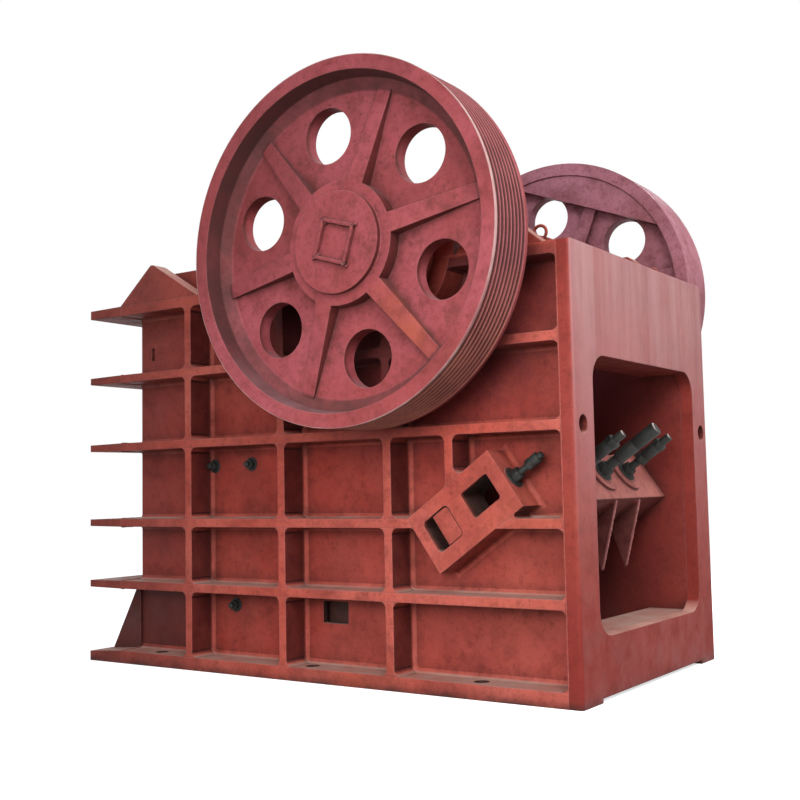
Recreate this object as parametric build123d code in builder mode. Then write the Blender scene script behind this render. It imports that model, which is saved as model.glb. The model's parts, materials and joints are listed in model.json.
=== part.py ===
from build123d import *
from math import cos, sin, radians
import os

os.makedirs("parts", exist_ok=True)

# All sizes are in mm. +X runs from the feed end to the rear wall, +Z is up.
# The near side is at -Y, the far side at +Y, and Z = 0 is the underside of the feet.

# Sizes along X that follow each other from the feed end to the rear
front_reach = 233.0
front_plate = 45.0
backing_room = 104.0
backing_plate = 60.0
jaw_plate = 80.0
gape = 750.0
shaft_back = 675.0
box_back = 368.0
rear_back = 459.0
rear_plate = 60.0

# Frame
frame_height = 1850.0
inner_width = 1138.0
wall_plate = 30.0
rib_depth = 150.0
base_drop = 14.0
shield_step, shield_rise = 80.0, 166.0
shield_slope, shield_end_back = 104.0, 690.0
edge_radius = 16.0

# Horizontal ribs, from the base flange up to the top flange. Ribs 3 and 4 follow the
# middle of the slanted box.
base_thick, top_thick, rib_thick = 63.0, 51.0, 41.0
rib5_low, rib4_sink = 379.0, 65.0
rib3_rise, rib2_drop = 327.0, 404.0

# Upright ribs, by the place of their middle
upright_thick = 40.0
rib_a_in, rib_b_back, rib_c_back, rib_d_back = 489.0, 623.0, 18.0, 68.0

# Holes of the side walls
foundation_set, foundation_radius = 76.0, 33.0
foundation_front, foundation_middle, foundation_rear = 227.0, 506.0, 25.0
access_back, access_z, access_long, access_high = 426.0, 301.0, 146.0, 102.0
pin_slot_in, pin_slot_drop = 85.0, 250.0

# Gussets on the base flange at the feed end
gusset_thick, gusset_toe, gusset_top = 26.0, 30.0, 24.0

# Slanted toggle box, with s along the slope and t across it. Its middle lies a little below
# the middle of the rear opening.
box_sink = 66.0
box_tilt = 35.0
box_long, box_wide = 492.0, 281.0
upper_window_s, upper_window_t = 107.0, 9.0
upper_window_long, upper_window_wide = 154.0, 122.0
lower_window_s, lower_window_t = -122.0, 3.0
lower_window_long, lower_window_wide = 146.0, 152.0
block_room, block_gap = 56.0, 4.0

# Rear wall
opening_low, header_drop = 256.0, 450.0
opening_radius = 111.0
rear_lift, foot_width = 18.0, 185.0
small_hole_in, small_hole_radius = 80.0, 39.0
sill_long, sill_thick = 199.0, 42.0

# Lugs and lifting eyes on the top flange
lug_thick, lug_rise, lug_crest, lug_gap = 87.0, 190.0, 18.0, 10.0
front_lug_slope, front_lug_long = 226.0, 555.0
rear_lug_slope, rear_lug_crest, rear_lug_back = 120.0, 58.0, 58.0
eye_back, eye_in, eye_rise = 137.0, 139.0, 71.0
eye_outer, eye_inner, eye_thick, eye_stem = 36.0, 22.0, 16.0, 22.0

# Toggle beam between the side walls
beam_s, beam_thick = 260.0, 60.0
beam_low, beam_high = -175.0, 75.0
beam_flange, beam_flange_long = 30.0, 140.0
beam_gusset, beam_gusset_out, beam_gusset_drop = 28.0, 276.0, 283.0
boss_radius, boss_height = 100.0, 12.0

# Studs on the beam and beside the slanted boxes
stud_in, stud_t = 304.0, -30.0
stud_radius, nut_radius, nut_high = 19.0, 34.0, 36.0
sleeve_radius, sleeve_start, sleeve_long, stud_out = 34.0, 88.0, 136.0, 5.0
middle_radius, middle_sleeve, middle_start, middle_out = 24.0, 31.0, 100.0, 55.0
side_stud_radius, side_nut_radius, side_nut_high, side_stud_long = 15.0, 30.0, 42.0, 164.0
side_sleeve_radius, side_sleeve_start, side_sleeve_long = 25.0, 82.0, 62.0

# Toggle plate and its seats
toggle_t, toggle_thick, toggle_span = -50.0, 70.0, 610.0
seat_thick, seat_high = 60.0, 150.0
adjusting_long, adjusting_gap = 150.0, 5.0

# Crushing chamber
fixed_lean, discharge = 280.0, 200.0
jaw_top_drop, jaw_low_drop = 50.0, 512.0
jaw_side_gap, jaw_end_gap = 9.0, 15.0
tooth_count, tooth_depth, tooth_tip, tooth_root = 14, 30.0, 20.0, 16.0
cheek_plate, cheek_lap, cheek_split_drop, cheek_gap = 30.0, 60.0, 770.0, 4.0
backing_web, web_margin = 36.0, 104.0
jaw_hub_radius, sweep_gap = 270.0, 6.0
jaw_neck_rise, jaw_crown_front, jaw_crown_rise = 7.0, 150.0, 232.0
jaw_back_out, jaw_back_rise, jaw_waist_set, jaw_waist_drop = 260.0, 67.0, 170.0, 203.0
jaw_belly_drop, jaw_knee_back, jaw_knee_rise = 643.0, 648.0, 38.0
jaw_heel_back, jaw_heel_drop = 698.0, 35.0

# Shaft and bearings
shaft_rise = 43.0
journal_radius, wheel_seat_radius = 130.0, 115.0
eccentric_radius, eccentric_offset, eccentric_in = 160.0, 15.0, 10.0
running_gap = 0.05
housing_radius, housing_out = 250.0, 51.0
saddle_wall, cap_wall = 80.0, 70.0
cap_foot, cap_foot_high = 30.0, 70.0

# Wheels
wheel_radius, rim_thick, rim_root = 776.0, 66.0, 60.0
wheel_gap, wheel_width = 130.0, 259.0
web_in, web_thick = 81.0, 70.0
hub_radius, hub_gap, hub_in = 264.0, 101.0, 46.0
spoke_count = 6
spoke_hub_width, spoke_rim_width = 86.0, 64.0
spoke_behind, spoke_rise = 30.0, 6.0
hole_shift, hole_margin, hole_start = 9.0, 101.0, 41.0
groove_count, groove_depth, groove_land = 8, 20.0, 18.0
flywheel_start = 37.0
weight_depth, weight_angle = 162.0, 68.8
cap_radius, cap_thick = 216.0, 24.0
bar_side, bar_width, bar_high, bar_turn = 178.0, 20.0, 22.0, -17.5

# Places along X
frame_length = (
    front_reach + front_plate + backing_room + backing_plate + jaw_plate
    + gape + shaft_back + box_back + rear_back + rear_plate
)
half_length = (frame_length + middle_out) / 2
front_face = -half_length + front_reach
rear_end = half_length - middle_out
rear_face = rear_end - rear_plate
box_x = rear_face - rear_back
shaft_x = box_x - box_back
swing_top_x = shaft_x - shaft_back
fixed_top_x = swing_top_x - gape
fixed_low_x = fixed_top_x + fixed_lean
swing_low_x = fixed_low_x + discharge

# Places along Y
inner_half = inner_width / 2
wall_face = inner_half + wall_plate
half_width = wall_face + rib_depth
frame_width = 2 * half_width
jaw_half = inner_half - cheek_plate - jaw_side_gap
foundation_y = wall_face + foundation_set
stud_y = inner_half - stud_in
housing_start = jaw_half + jaw_end_gap
housing_end = half_width + housing_out
wheel_back = half_width + wheel_gap
wheel_front = wheel_back + wheel_width
web_back = wheel_back + web_in
web_front = web_back + web_thick
hub_back = half_width + hub_gap
hub_front = wheel_front - hub_in
cap_front = hub_front + cap_thick

# Places along Z
rib1_low = frame_height - top_thick
rib2_low = frame_height - rib2_drop
opening_high = frame_height - header_drop
box_z = (opening_low + opening_high) / 2 - box_sink
rib3_low = box_z + rib3_rise
rib4_low = box_z - rib4_sink
jaw_top_z = frame_height - jaw_top_drop
jaw_low_z = box_z - jaw_low_drop
cheek_split = jaw_top_z - cheek_split_drop
shaft_z = frame_height + shaft_rise
eye_z = frame_height + eye_rise

beam_rear = beam_s + beam_thick
rim_inner = wheel_radius - rim_thick
hole_circle = (hub_radius + rim_inner) / 2 + hole_shift
hole_radius = (rim_inner - hub_radius) / 2 - hole_margin
saddle_radius = housing_radius + saddle_wall
cap_outer = housing_radius + cap_wall
cap_foot_long = 2 * (cap_outer + cap_foot)
foundation_x = (front_face + foundation_front, shaft_x - foundation_middle, box_x + foundation_rear)

rib_levels = [
    (0, base_thick),
    (rib5_low, rib5_low + rib_thick),
    (rib4_low, rib4_low + rib_thick),
    (rib3_low, rib3_low + rib_thick),
    (rib2_low, rib2_low + rib_thick),
    (rib1_low, frame_height),
]
uprights = [front_face + rib_a_in, shaft_x - rib_b_back, shaft_x - rib_c_back]

# The slope of the toggle: local X runs up the slope, local Y across it
box_cos = cos(radians(box_tilt))
box_sin = sin(radians(box_tilt))
slope_plane = Plane(origin=(box_x, 0, box_z), x_dir=(box_cos, 0, box_sin), z_dir=(0, -1, 0))


def on_slope(s, t):
    return (box_x + box_cos * s - box_sin * t, box_z + box_sin * s + box_cos * t)


# Near side wall: a plate with the feed side shield above the top flange
with BuildPart() as side_wall_near:
    with BuildSketch(Plane.XZ.offset(inner_half)):
        with Locations(((front_face + rear_face) / 2, frame_height / 2)):
            Rectangle(rear_face - front_face, frame_height)
        with BuildLine():
            Polyline(
                (front_face, frame_height), (front_face, frame_height + shield_step),
                (front_face + shield_slope, frame_height + shield_rise),
                (shaft_x - shield_end_back - shield_rise, frame_height + shield_rise),
                (shaft_x - shield_end_back, frame_height), (front_face, frame_height),
            )
        make_face()
        with Locations((shaft_x, shaft_z)):
            Circle(housing_radius, mode=Mode.SUBTRACT)
        with Locations((shaft_x - access_back, access_z)):
            RectangleRounded(access_long, access_high, 8, mode=Mode.SUBTRACT)
        with Locations((front_face + pin_slot_in, frame_height - pin_slot_drop)):
            RectangleRounded(24, 68, 8, mode=Mode.SUBTRACT)
    extrude(amount=wall_plate)
    # Two windows of the slanted box
    with BuildSketch(slope_plane.offset(inner_half)):
        with Locations((upper_window_s, upper_window_t)):
            RectangleRounded(upper_window_long, upper_window_wide, 12)
        with Locations((lower_window_s, lower_window_t)):
            RectangleRounded(lower_window_long, lower_window_wide, 22)
    extrude(amount=wall_plate, mode=Mode.SUBTRACT)
side_wall_near.part.label = "side_wall_near"
export_step(side_wall_near.part, "parts/side_wall_near.step")

with BuildPart() as side_wall_far:
    add(mirror(side_wall_near.part, about=Plane.XZ))
side_wall_far.part.label = "side_wall_far"
export_step(side_wall_far.part, "parts/side_wall_far.step")

# Horizontal ribs, broken at the slanted box and at the bearing saddle
with BuildPart() as side_ribs_near:
    with BuildSketch(Plane.XZ.offset(wall_face)):
        for low, high in rib_levels:
            with Locations(((front_face + rear_face) / 2, (low + high) / 2)):
                Rectangle(rear_face - front_face, high - low)
        with Locations((box_x, box_z)):
            Rectangle(box_long, box_wide, rotation=box_tilt, mode=Mode.SUBTRACT)
        with Locations((shaft_x, shaft_z)):
            Circle(saddle_radius, mode=Mode.SUBTRACT)
    extrude(amount=rib_depth)
    # Foundation bolt holes
    with BuildSketch(Plane.XY):
        with Locations(*[(x, -foundation_y) for x in foundation_x]):
            Circle(foundation_radius)
    extrude(amount=base_thick, mode=Mode.SUBTRACT)
side_ribs_near.part.label = "side_ribs_near"
export_step(side_ribs_near.part, "parts/side_ribs_near.step")

with BuildPart() as side_ribs_far:
    add(mirror(side_ribs_near.part, about=Plane.XZ))
side_ribs_far.part.label = "side_ribs_far"
export_step(side_ribs_far.part, "parts/side_ribs_far.step")

# Upright ribs between the horizontal ones
with BuildPart() as upright_ribs_near:
    with BuildSketch(Plane.XZ.offset(wall_face)):
        for (_, low), (high, _) in zip(rib_levels, rib_levels[1:]):
            for middle in uprights:
                with Locations((middle, (low + high) / 2)):
                    Rectangle(upright_thick, high - low)
        with Locations((box_x - rib_d_back, (box_z + rib3_low) / 2)):
            Rectangle(upright_thick, rib3_low - box_z)
        with Locations((box_x, box_z)):
            Rectangle(box_long, box_wide, rotation=box_tilt, mode=Mode.SUBTRACT)
        with Locations((shaft_x, shaft_z)):
            Circle(saddle_radius, mode=Mode.SUBTRACT)
    extrude(amount=rib_depth)
upright_ribs_near.part.label = "upright_ribs_near"
export_step(upright_ribs_near.part, "parts/upright_ribs_near.step")

with BuildPart() as upright_ribs_far:
    add(mirror(upright_ribs_near.part, about=Plane.XZ))
upright_ribs_far.part.label = "upright_ribs_far"
export_step(upright_ribs_far.part, "parts/upright_ribs_far.step")

# Slanted box with two windows
with BuildPart() as toggle_box_near:
    with BuildSketch(slope_plane.offset(wall_face)):
        Rectangle(box_long, box_wide)
        with Locations((upper_window_s, upper_window_t)):
            RectangleRounded(upper_window_long, upper_window_wide, 12, mode=Mode.SUBTRACT)
        with Locations((lower_window_s, lower_window_t)):
            RectangleRounded(lower_window_long, lower_window_wide, 22, mode=Mode.SUBTRACT)
    extrude(amount=rib_depth)
toggle_box_near.part.label = "toggle_box_near"
export_step(toggle_box_near.part, "parts/toggle_box_near.step")

with BuildPart() as toggle_box_far:
    add(mirror(toggle_box_near.part, about=Plane.XZ))
toggle_box_far.part.label = "toggle_box_far"
export_step(toggle_box_far.part, "parts/toggle_box_far.step")

# Half-round saddle that carries the bearing housing
with BuildPart() as bearing_saddle_near:
    with BuildSketch(Plane.XZ.offset(wall_face)):
        with Locations((shaft_x, shaft_z)):
            Circle(saddle_radius)
            Circle(housing_radius, mode=Mode.SUBTRACT)
        with Locations((shaft_x, frame_height + saddle_radius)):
            Rectangle(3 * saddle_radius, 2 * saddle_radius, mode=Mode.SUBTRACT)
    extrude(amount=rib_depth)
bearing_saddle_near.part.label = "bearing_saddle_near"
export_step(bearing_saddle_near.part, "parts/bearing_saddle_near.step")

with BuildPart() as bearing_saddle_far:
    add(mirror(bearing_saddle_near.part, about=Plane.XZ))
bearing_saddle_far.part.label = "bearing_saddle_far"
export_step(bearing_saddle_far.part, "parts/bearing_saddle_far.step")

# Front wall plate between the side walls
with BuildPart() as front_wall:
    with BuildSketch(Plane.XZ):
        with Locations((front_face + front_plate / 2, frame_height / 2)):
            Rectangle(front_plate, frame_height)
    extrude(amount=inner_half, both=True)
front_wall.part.label = "front_wall"
export_step(front_wall.part, "parts/front_wall.step")

# The six ribs run on in front of the front wall over the whole width
with BuildPart() as front_ribs:
    with BuildSketch(Plane.XZ):
        for low, high in rib_levels[1:]:
            with BuildLine():
                Polyline(
                    (front_face, low), (front_face, high), (-half_length, high - 3),
                    (-half_length, low + 3), (front_face, low),
                )
            make_face()
        with BuildLine():
            Polyline(
                (front_face, 0), (front_face, base_thick), (-half_length, base_thick - base_drop),
                (-half_length, 0), (front_face, 0),
            )
        make_face()
    extrude(amount=half_width, both=True)
front_ribs.part.label = "front_ribs"
export_step(front_ribs.part, "parts/front_ribs.step")

# Triangular gussets on the base flange at the feed end
toe_z = base_thick - base_drop * (front_reach - gusset_toe) / front_reach
with BuildPart() as front_gussets:
    for gusset_y in (-wall_face, wall_face):
        with BuildSketch(Plane.XZ.offset(-gusset_y)):
            with BuildLine():
                Polyline(
                    (front_face, rib5_low), (front_face - gusset_top, rib5_low),
                    (-half_length + gusset_toe, toe_z + 6), (-half_length + gusset_toe, toe_z),
                    (front_face, base_thick), (front_face, rib5_low),
                )
            make_face()
        extrude(amount=gusset_thick / 2, both=True)
front_gussets.part.label = "front_gussets"
export_step(front_gussets.part, "parts/front_gussets.step")

# Rear wall with its large rounded opening and feet
with BuildPart() as rear_wall:
    with BuildSketch(Plane.YZ.offset(rear_face)):
        with Locations((0, (rear_lift + frame_height) / 2)):
            Rectangle(frame_width, frame_height - rear_lift)
        with Locations((-half_width + foot_width / 2, rear_lift), (half_width - foot_width / 2, rear_lift)):
            Rectangle(foot_width, 2 * rear_lift)
        with Locations((0, (opening_low + opening_high) / 2)):
            RectangleRounded(inner_width, opening_high - opening_low, opening_radius, mode=Mode.SUBTRACT)
        with Locations(*[(side * (half_width - small_hole_in), rib3_low + rib_thick / 2) for side in (-1, 1)]):
            Circle(small_hole_radius, mode=Mode.SUBTRACT)
    extrude(amount=rear_plate)
    fillet(rear_wall.edges().filter_by(Axis.Z).group_by(Axis.X)[-1].filter_by(
        lambda edge: abs(edge.center().Y) > half_width - 1), edge_radius)
rear_wall.part.label = "rear_wall"
export_step(rear_wall.part, "parts/rear_wall.step")

# Sill and header in front of the edges of the opening
with BuildPart() as rear_stiffeners:
    with BuildSketch(Plane.XZ):
        with Locations(
            (rear_face - sill_long / 2, opening_low - sill_thick / 2),
            (rear_face - sill_long / 2, opening_high + sill_thick / 2),
        ):
            Rectangle(sill_long, sill_thick)
    extrude(amount=inner_half, both=True)
rear_stiffeners.part.label = "rear_stiffeners"
export_step(rear_stiffeners.part, "parts/rear_stiffeners.step")

# Thick triangular lugs on the outer edge of the top flange
lug_top = frame_height + lug_rise
with BuildPart() as front_lug_near:
    with BuildSketch(Plane.XZ.offset(half_width - lug_thick)):
        with BuildLine():
            Polyline(
                (front_face, frame_height), (front_face + front_lug_slope, lug_top),
                (front_face + front_lug_slope + lug_crest, lug_top),
                (front_face + front_lug_long, frame_height), (front_face, frame_height),
            )
        make_face()
    extrude(amount=lug_thick)
front_lug_near.part.label = "front_lug_near"
export_step(front_lug_near.part, "parts/front_lug_near.step")

with BuildPart() as front_lug_far:
    add(mirror(front_lug_near.part, about=Plane.XZ))
front_lug_far.part.label = "front_lug_far"
export_step(front_lug_far.part, "parts/front_lug_far.step")

rear_lug_x = shaft_x + cap_foot_long / 2 + lug_gap
with BuildPart() as rear_lug_near:
    with BuildSketch(Plane.XZ.offset(half_width - lug_thick)):
        with BuildLine():
            Polyline(
                (rear_face - rear_lug_back, frame_height),
                (rear_lug_x + rear_lug_slope + rear_lug_crest, lug_top),
                (rear_lug_x + rear_lug_slope, lug_top), (rear_lug_x, frame_height),
                (rear_face - rear_lug_back, frame_height),
            )
        make_face()
    extrude(amount=lug_thick)
rear_lug_near.part.label = "rear_lug_near"
export_step(rear_lug_near.part, "parts/rear_lug_near.step")

with BuildPart() as rear_lug_far:
    add(mirror(rear_lug_near.part, about=Plane.XZ))
rear_lug_far.part.label = "rear_lug_far"
export_step(rear_lug_far.part, "parts/rear_lug_far.step")

# Lifting eyes on the top flange behind the rear lugs
eye_x, eye_y = rear_face - eye_back, half_width - eye_in
with BuildPart() as lifting_eyes:
    with BuildSketch(Plane.XY.offset(frame_height)):
        with Locations((eye_x, -eye_y), (eye_x, eye_y)):
            Rectangle(eye_stem, eye_thick)
    extrude(amount=eye_z - frame_height - (eye_outer + eye_inner) / 2)
    for side in (-1, 1):
        with BuildSketch(Plane.XZ.offset(side * eye_y)):
            with Locations((eye_x, eye_z)):
                Circle(eye_outer)
                Circle(eye_inner, mode=Mode.SUBTRACT)
        extrude(amount=eye_thick / 2, both=True)
lifting_eyes.part.label = "lifting_eyes"
export_step(lifting_eyes.part, "parts/lifting_eyes.step")

# Inclined toggle beam: rear thrust plate, two flanges, three bosses and three gussets
stud_x, stud_z = on_slope(beam_rear, stud_t)
stud_plane = Plane(origin=(stud_x, 0, stud_z), x_dir=(0, 1, 0), z_dir=(box_cos, 0, box_sin))
with BuildPart() as toggle_beam:
    with BuildSketch(slope_plane):
        with Locations((beam_s + beam_thick / 2, (beam_low + beam_high) / 2)):
            Rectangle(beam_thick, beam_high - beam_low)
        with Locations(
            (beam_s - beam_flange_long / 2, beam_low + beam_flange / 2),
            (beam_s - beam_flange_long / 2, beam_high - beam_flange / 2),
        ):
            Rectangle(beam_flange_long, beam_flange)
    extrude(amount=inner_half, both=True)
    for gusset_y in (-stud_y, 0, stud_y):
        with BuildSketch(Plane.XZ.offset(-gusset_y)):
            with BuildLine():
                Polyline(
                    on_slope(beam_rear - 3, beam_low + 30), on_slope(beam_rear - 10, beam_low),
                    (box_x + beam_gusset_out, box_z - beam_gusset_drop),
                    on_slope(beam_s - beam_flange_long, beam_low),
                    on_slope(beam_s - beam_flange_long + 5, beam_low + 15),
                    on_slope(beam_rear - 3, beam_low + 30),
                )
            make_face()
        extrude(amount=beam_gusset / 2, both=True)
    # Round bosses under the studs
    with BuildSketch(stud_plane):
        with Locations((-stud_y, 0), (0, 0), (stud_y, 0)):
            Circle(boss_radius)
    extrude(amount=boss_height)
toggle_beam.part.label = "toggle_beam"
export_step(toggle_beam.part, "parts/toggle_beam.step")

# Studs inside the rear opening, parallel to the slope. The outer two have a nut, a rod and a
# sleeve, and the middle one is longer and ends in its sleeve. Their ends stand out a little
# behind the rear wall.
stud_base = stud_plane.offset(boss_height)
stud_room = rear_end - box_x + box_sin * stud_t
stud_long = (stud_room + stud_out - box_sin * stud_radius) / box_cos - beam_rear - boss_height
middle_long = (stud_room + middle_out - box_sin * middle_sleeve) / box_cos - beam_rear - boss_height
with BuildPart() as tension_studs:
    with BuildSketch(stud_base):
        with Locations((-stud_y, 0), (stud_y, 0)):
            Circle(stud_radius)
    extrude(amount=stud_long)
    with BuildSketch(stud_base):
        with Locations((-stud_y, 0), (stud_y, 0)):
            RegularPolygon(nut_radius, 6)
        RegularPolygon(nut_radius + middle_radius - stud_radius, 6)
    extrude(amount=nut_high)
    with BuildSketch(stud_base.offset(sleeve_start)):
        with Locations((-stud_y, 0), (stud_y, 0)):
            Circle(sleeve_radius)
    extrude(amount=sleeve_long)
    with BuildSketch(stud_base):
        Circle(middle_radius)
    extrude(amount=middle_start)
    with BuildSketch(stud_base.offset(middle_start)):
        Circle(middle_sleeve)
    extrude(amount=middle_long - middle_start)
tension_studs.part.label = "tension_studs"
export_step(tension_studs.part, "parts/tension_studs.step")

# Studs on the outside of the side walls, at the upper ends of the slanted boxes
side_x, side_z = on_slope(box_long / 2, 0)
side_plane = Plane(origin=(side_x, 0, side_z), x_dir=(0, 1, 0), z_dir=(box_cos, 0, box_sin))
with BuildPart() as side_studs:
    with BuildSketch(side_plane):
        with Locations((-foundation_y, 0), (foundation_y, 0)):
            RegularPolygon(side_nut_radius, 6)
    extrude(amount=side_nut_high)
    with BuildSketch(side_plane):
        with Locations((-foundation_y, 0), (foundation_y, 0)):
            Circle(side_stud_radius)
    extrude(amount=side_stud_long)
    with BuildSketch(side_plane.offset(side_sleeve_start)):
        with Locations((-foundation_y, 0), (foundation_y, 0)):
            Circle(side_sleeve_radius)
    extrude(amount=side_sleeve_long)
side_studs.part.label = "side_studs"
export_step(side_studs.part, "parts/side_studs.step")

# Blocks in the lower windows of the slanted boxes
with BuildPart() as adjusting_blocks:
    with BuildSketch(slope_plane.offset(inner_half)):
        with Locations((lower_window_s, lower_window_t)):
            RectangleRounded(lower_window_long, lower_window_wide - 2 * block_gap, 18)
            with Locations((-block_room, 0)):
                Rectangle(lower_window_long, lower_window_wide, mode=Mode.SUBTRACT)
    extrude(amount=rib_depth)
    mirror(about=Plane.XZ)
adjusting_blocks.part.label = "adjusting_blocks"
export_step(adjusting_blocks.part, "parts/adjusting_blocks.step")

# Toggle: seat held in the beam, plate, and seat on the jaw
with BuildPart() as adjusting_seat:
    with BuildSketch(slope_plane):
        with Locations((beam_s - adjusting_long / 2, (beam_low + beam_high) / 2)):
            Rectangle(adjusting_long, beam_high - beam_low - 2 * (beam_flange + adjusting_gap))
    extrude(amount=inner_half - 4, both=True)
adjusting_seat.part.label = "adjusting_seat"
export_step(adjusting_seat.part, "parts/adjusting_seat.step")

seat_s = beam_s - adjusting_long - seat_thick
with BuildPart() as toggle_seat:
    with BuildSketch(slope_plane):
        with Locations((seat_s + seat_thick / 2, toggle_t)):
            Rectangle(seat_thick, seat_high)
        with Locations((seat_s, toggle_t)):
            Circle(toggle_thick / 2, mode=Mode.SUBTRACT)
    extrude(amount=jaw_half - 30, both=True)
toggle_seat.part.label = "toggle_seat"
export_step(toggle_seat.part, "parts/toggle_seat.step")

with BuildPart() as toggle_plate:
    with BuildSketch(slope_plane):
        with Locations((seat_s - toggle_span / 2, toggle_t)):
            SlotOverall(toggle_span + toggle_thick, toggle_thick)
    extrude(amount=jaw_half - 40, both=True)
toggle_plate.part.label = "toggle_plate"
export_step(toggle_plate.part, "parts/toggle_plate.step")

jaw_seat_s = seat_s - toggle_span
with BuildPart() as jaw_toggle_seat:
    with BuildSketch(slope_plane):
        with Locations((jaw_seat_s - seat_thick / 2, toggle_t)):
            Rectangle(seat_thick, seat_high)
        with Locations((jaw_seat_s, toggle_t)):
            Circle(toggle_thick / 2, mode=Mode.SUBTRACT)
    extrude(amount=jaw_half - 30, both=True)
jaw_toggle_seat.part.label = "jaw_toggle_seat"
export_step(jaw_toggle_seat.part, "parts/jaw_toggle_seat.step")

# Swing jaw hanging on the eccentric, with a flat behind the toggle's seat
jaw_back_s = jaw_seat_s - seat_thick
with BuildPart() as swing_jaw:
    with BuildSketch(Plane.XZ):
        with BuildLine():
            Polyline(
                (swing_top_x + jaw_plate, jaw_top_z),
                (swing_top_x + jaw_plate, shaft_z + jaw_neck_rise),
                (shaft_x - jaw_crown_front, shaft_z + jaw_crown_rise),
                (shaft_x + jaw_back_out, shaft_z + jaw_back_rise),
                (shaft_x + jaw_waist_set, shaft_z - jaw_waist_drop),
                (shaft_x - jaw_waist_set, shaft_z - jaw_belly_drop),
                (box_x - jaw_knee_back, box_z + jaw_knee_rise),
                on_slope(jaw_back_s, toggle_t + seat_high / 2 + 2),
                on_slope(jaw_back_s, toggle_t - seat_high / 2 - 2),
                (box_x - jaw_heel_back, jaw_low_z - jaw_heel_drop),
                (swing_low_x + jaw_plate, jaw_low_z),
                (swing_top_x + jaw_plate, jaw_top_z),
            )
        make_face()
        with Locations((shaft_x, shaft_z)):
            Circle(jaw_hub_radius)
            Circle(eccentric_radius + eccentric_offset + sweep_gap, mode=Mode.SUBTRACT)
    extrude(amount=jaw_half, both=True)
swing_jaw.part.label = "swing_jaw"
export_step(swing_jaw.part, "parts/swing_jaw.step")

# Jaw plates with teeth that run down their faces. The tips of one face the roots of the other.
jaw_high = jaw_top_z - jaw_low_z
tooth_pitch = 2 * jaw_half / tooth_count
with BuildPart() as swing_jaw_plate:
    with BuildSketch(Plane.XZ):
        with BuildLine():
            Polyline(
                (swing_top_x, jaw_top_z), (swing_top_x + jaw_plate, jaw_top_z),
                (swing_low_x + jaw_plate, jaw_low_z), (swing_low_x, jaw_low_z),
                (swing_top_x, jaw_top_z),
            )
        make_face()
    extrude(amount=jaw_half, both=True)
    swing_face = Plane(
        origin=(swing_low_x, 0, jaw_low_z), x_dir=(0, 1, 0),
        z_dir=(swing_top_x - swing_low_x, 0, jaw_high),
    )
    with BuildSketch(swing_face.offset(-jaw_plate)):
        for index in range(tooth_count):
            with Locations(((index - (tooth_count - 1) / 2) * tooth_pitch, 0)):
                Polygon(
                    (-(tooth_pitch - tooth_tip) / 2, 0), (-tooth_root / 2, -tooth_depth),
                    (tooth_root / 2, -tooth_depth), ((tooth_pitch - tooth_tip) / 2, 0), align=None,
                )
    extrude(amount=2 * jaw_plate + 1.1 * jaw_high, mode=Mode.SUBTRACT)
swing_jaw_plate.part.label = "swing_jaw_plate"
export_step(swing_jaw_plate.part, "parts/swing_jaw_plate.step")

with BuildPart() as fixed_jaw_plate:
    with BuildSketch(Plane.XZ):
        with BuildLine():
            Polyline(
                (fixed_top_x, jaw_top_z), (fixed_top_x - jaw_plate, jaw_top_z),
                (fixed_low_x - jaw_plate, jaw_low_z), (fixed_low_x, jaw_low_z),
                (fixed_top_x, jaw_top_z),
            )
        make_face()
    extrude(amount=jaw_half, both=True)
    fixed_face = Plane(
        origin=(fixed_low_x, 0, jaw_low_z), x_dir=(0, 1, 0),
        z_dir=(fixed_top_x - fixed_low_x, 0, jaw_high),
    )
    with BuildSketch(fixed_face.offset(-jaw_plate)):
        for index in range(tooth_count - 1):
            with Locations(((index - (tooth_count - 2) / 2) * tooth_pitch, 0)):
                Polygon(
                    (-(tooth_pitch - tooth_tip) / 2, 0), (-tooth_root / 2, tooth_depth),
                    (tooth_root / 2, tooth_depth), ((tooth_pitch - tooth_tip) / 2, 0), align=None,
                )
    extrude(amount=2 * jaw_plate + 1.1 * jaw_high, mode=Mode.SUBTRACT)
fixed_jaw_plate.part.label = "fixed_jaw_plate"
export_step(fixed_jaw_plate.part, "parts/fixed_jaw_plate.step")

# Slanted backing plate behind the fixed jaw plate, held by four upright webs
backing_top_x = fixed_top_x - jaw_plate - backing_plate
backing_low_x = fixed_low_x - jaw_plate - backing_plate
with BuildPart() as fixed_jaw_backing:
    with BuildSketch(Plane.XZ):
        with BuildLine():
            Polyline(
                (backing_top_x + backing_plate, jaw_top_z), (backing_top_x, jaw_top_z),
                (backing_low_x, jaw_low_z), (backing_low_x + backing_plate, jaw_low_z),
                (backing_top_x + backing_plate, jaw_top_z),
            )
        make_face()
    extrude(amount=inner_half, both=True)
fixed_jaw_backing.part.label = "fixed_jaw_backing"
export_step(fixed_jaw_backing.part, "parts/fixed_jaw_backing.step")

backing_webs_y = inner_half - web_margin
with BuildPart() as backing_webs:
    for web_y in (-backing_webs_y, -backing_webs_y / 3, backing_webs_y / 3, backing_webs_y):
        with BuildSketch(Plane.XZ.offset(-web_y)):
            with BuildLine():
                Polyline(
                    (front_face + front_plate, jaw_top_z), (backing_top_x, jaw_top_z),
                    (backing_low_x, jaw_low_z), (front_face + front_plate, jaw_low_z),
                    (front_face + front_plate, jaw_top_z),
                )
            make_face()
        extrude(amount=backing_web / 2, both=True)
backing_webs.part.label = "backing_webs"
export_step(backing_webs.part, "parts/backing_webs.step")


def cheek_x(top_x, low_x, z):
    return top_x + (low_x - top_x) * (jaw_top_z - z) / jaw_high


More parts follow.
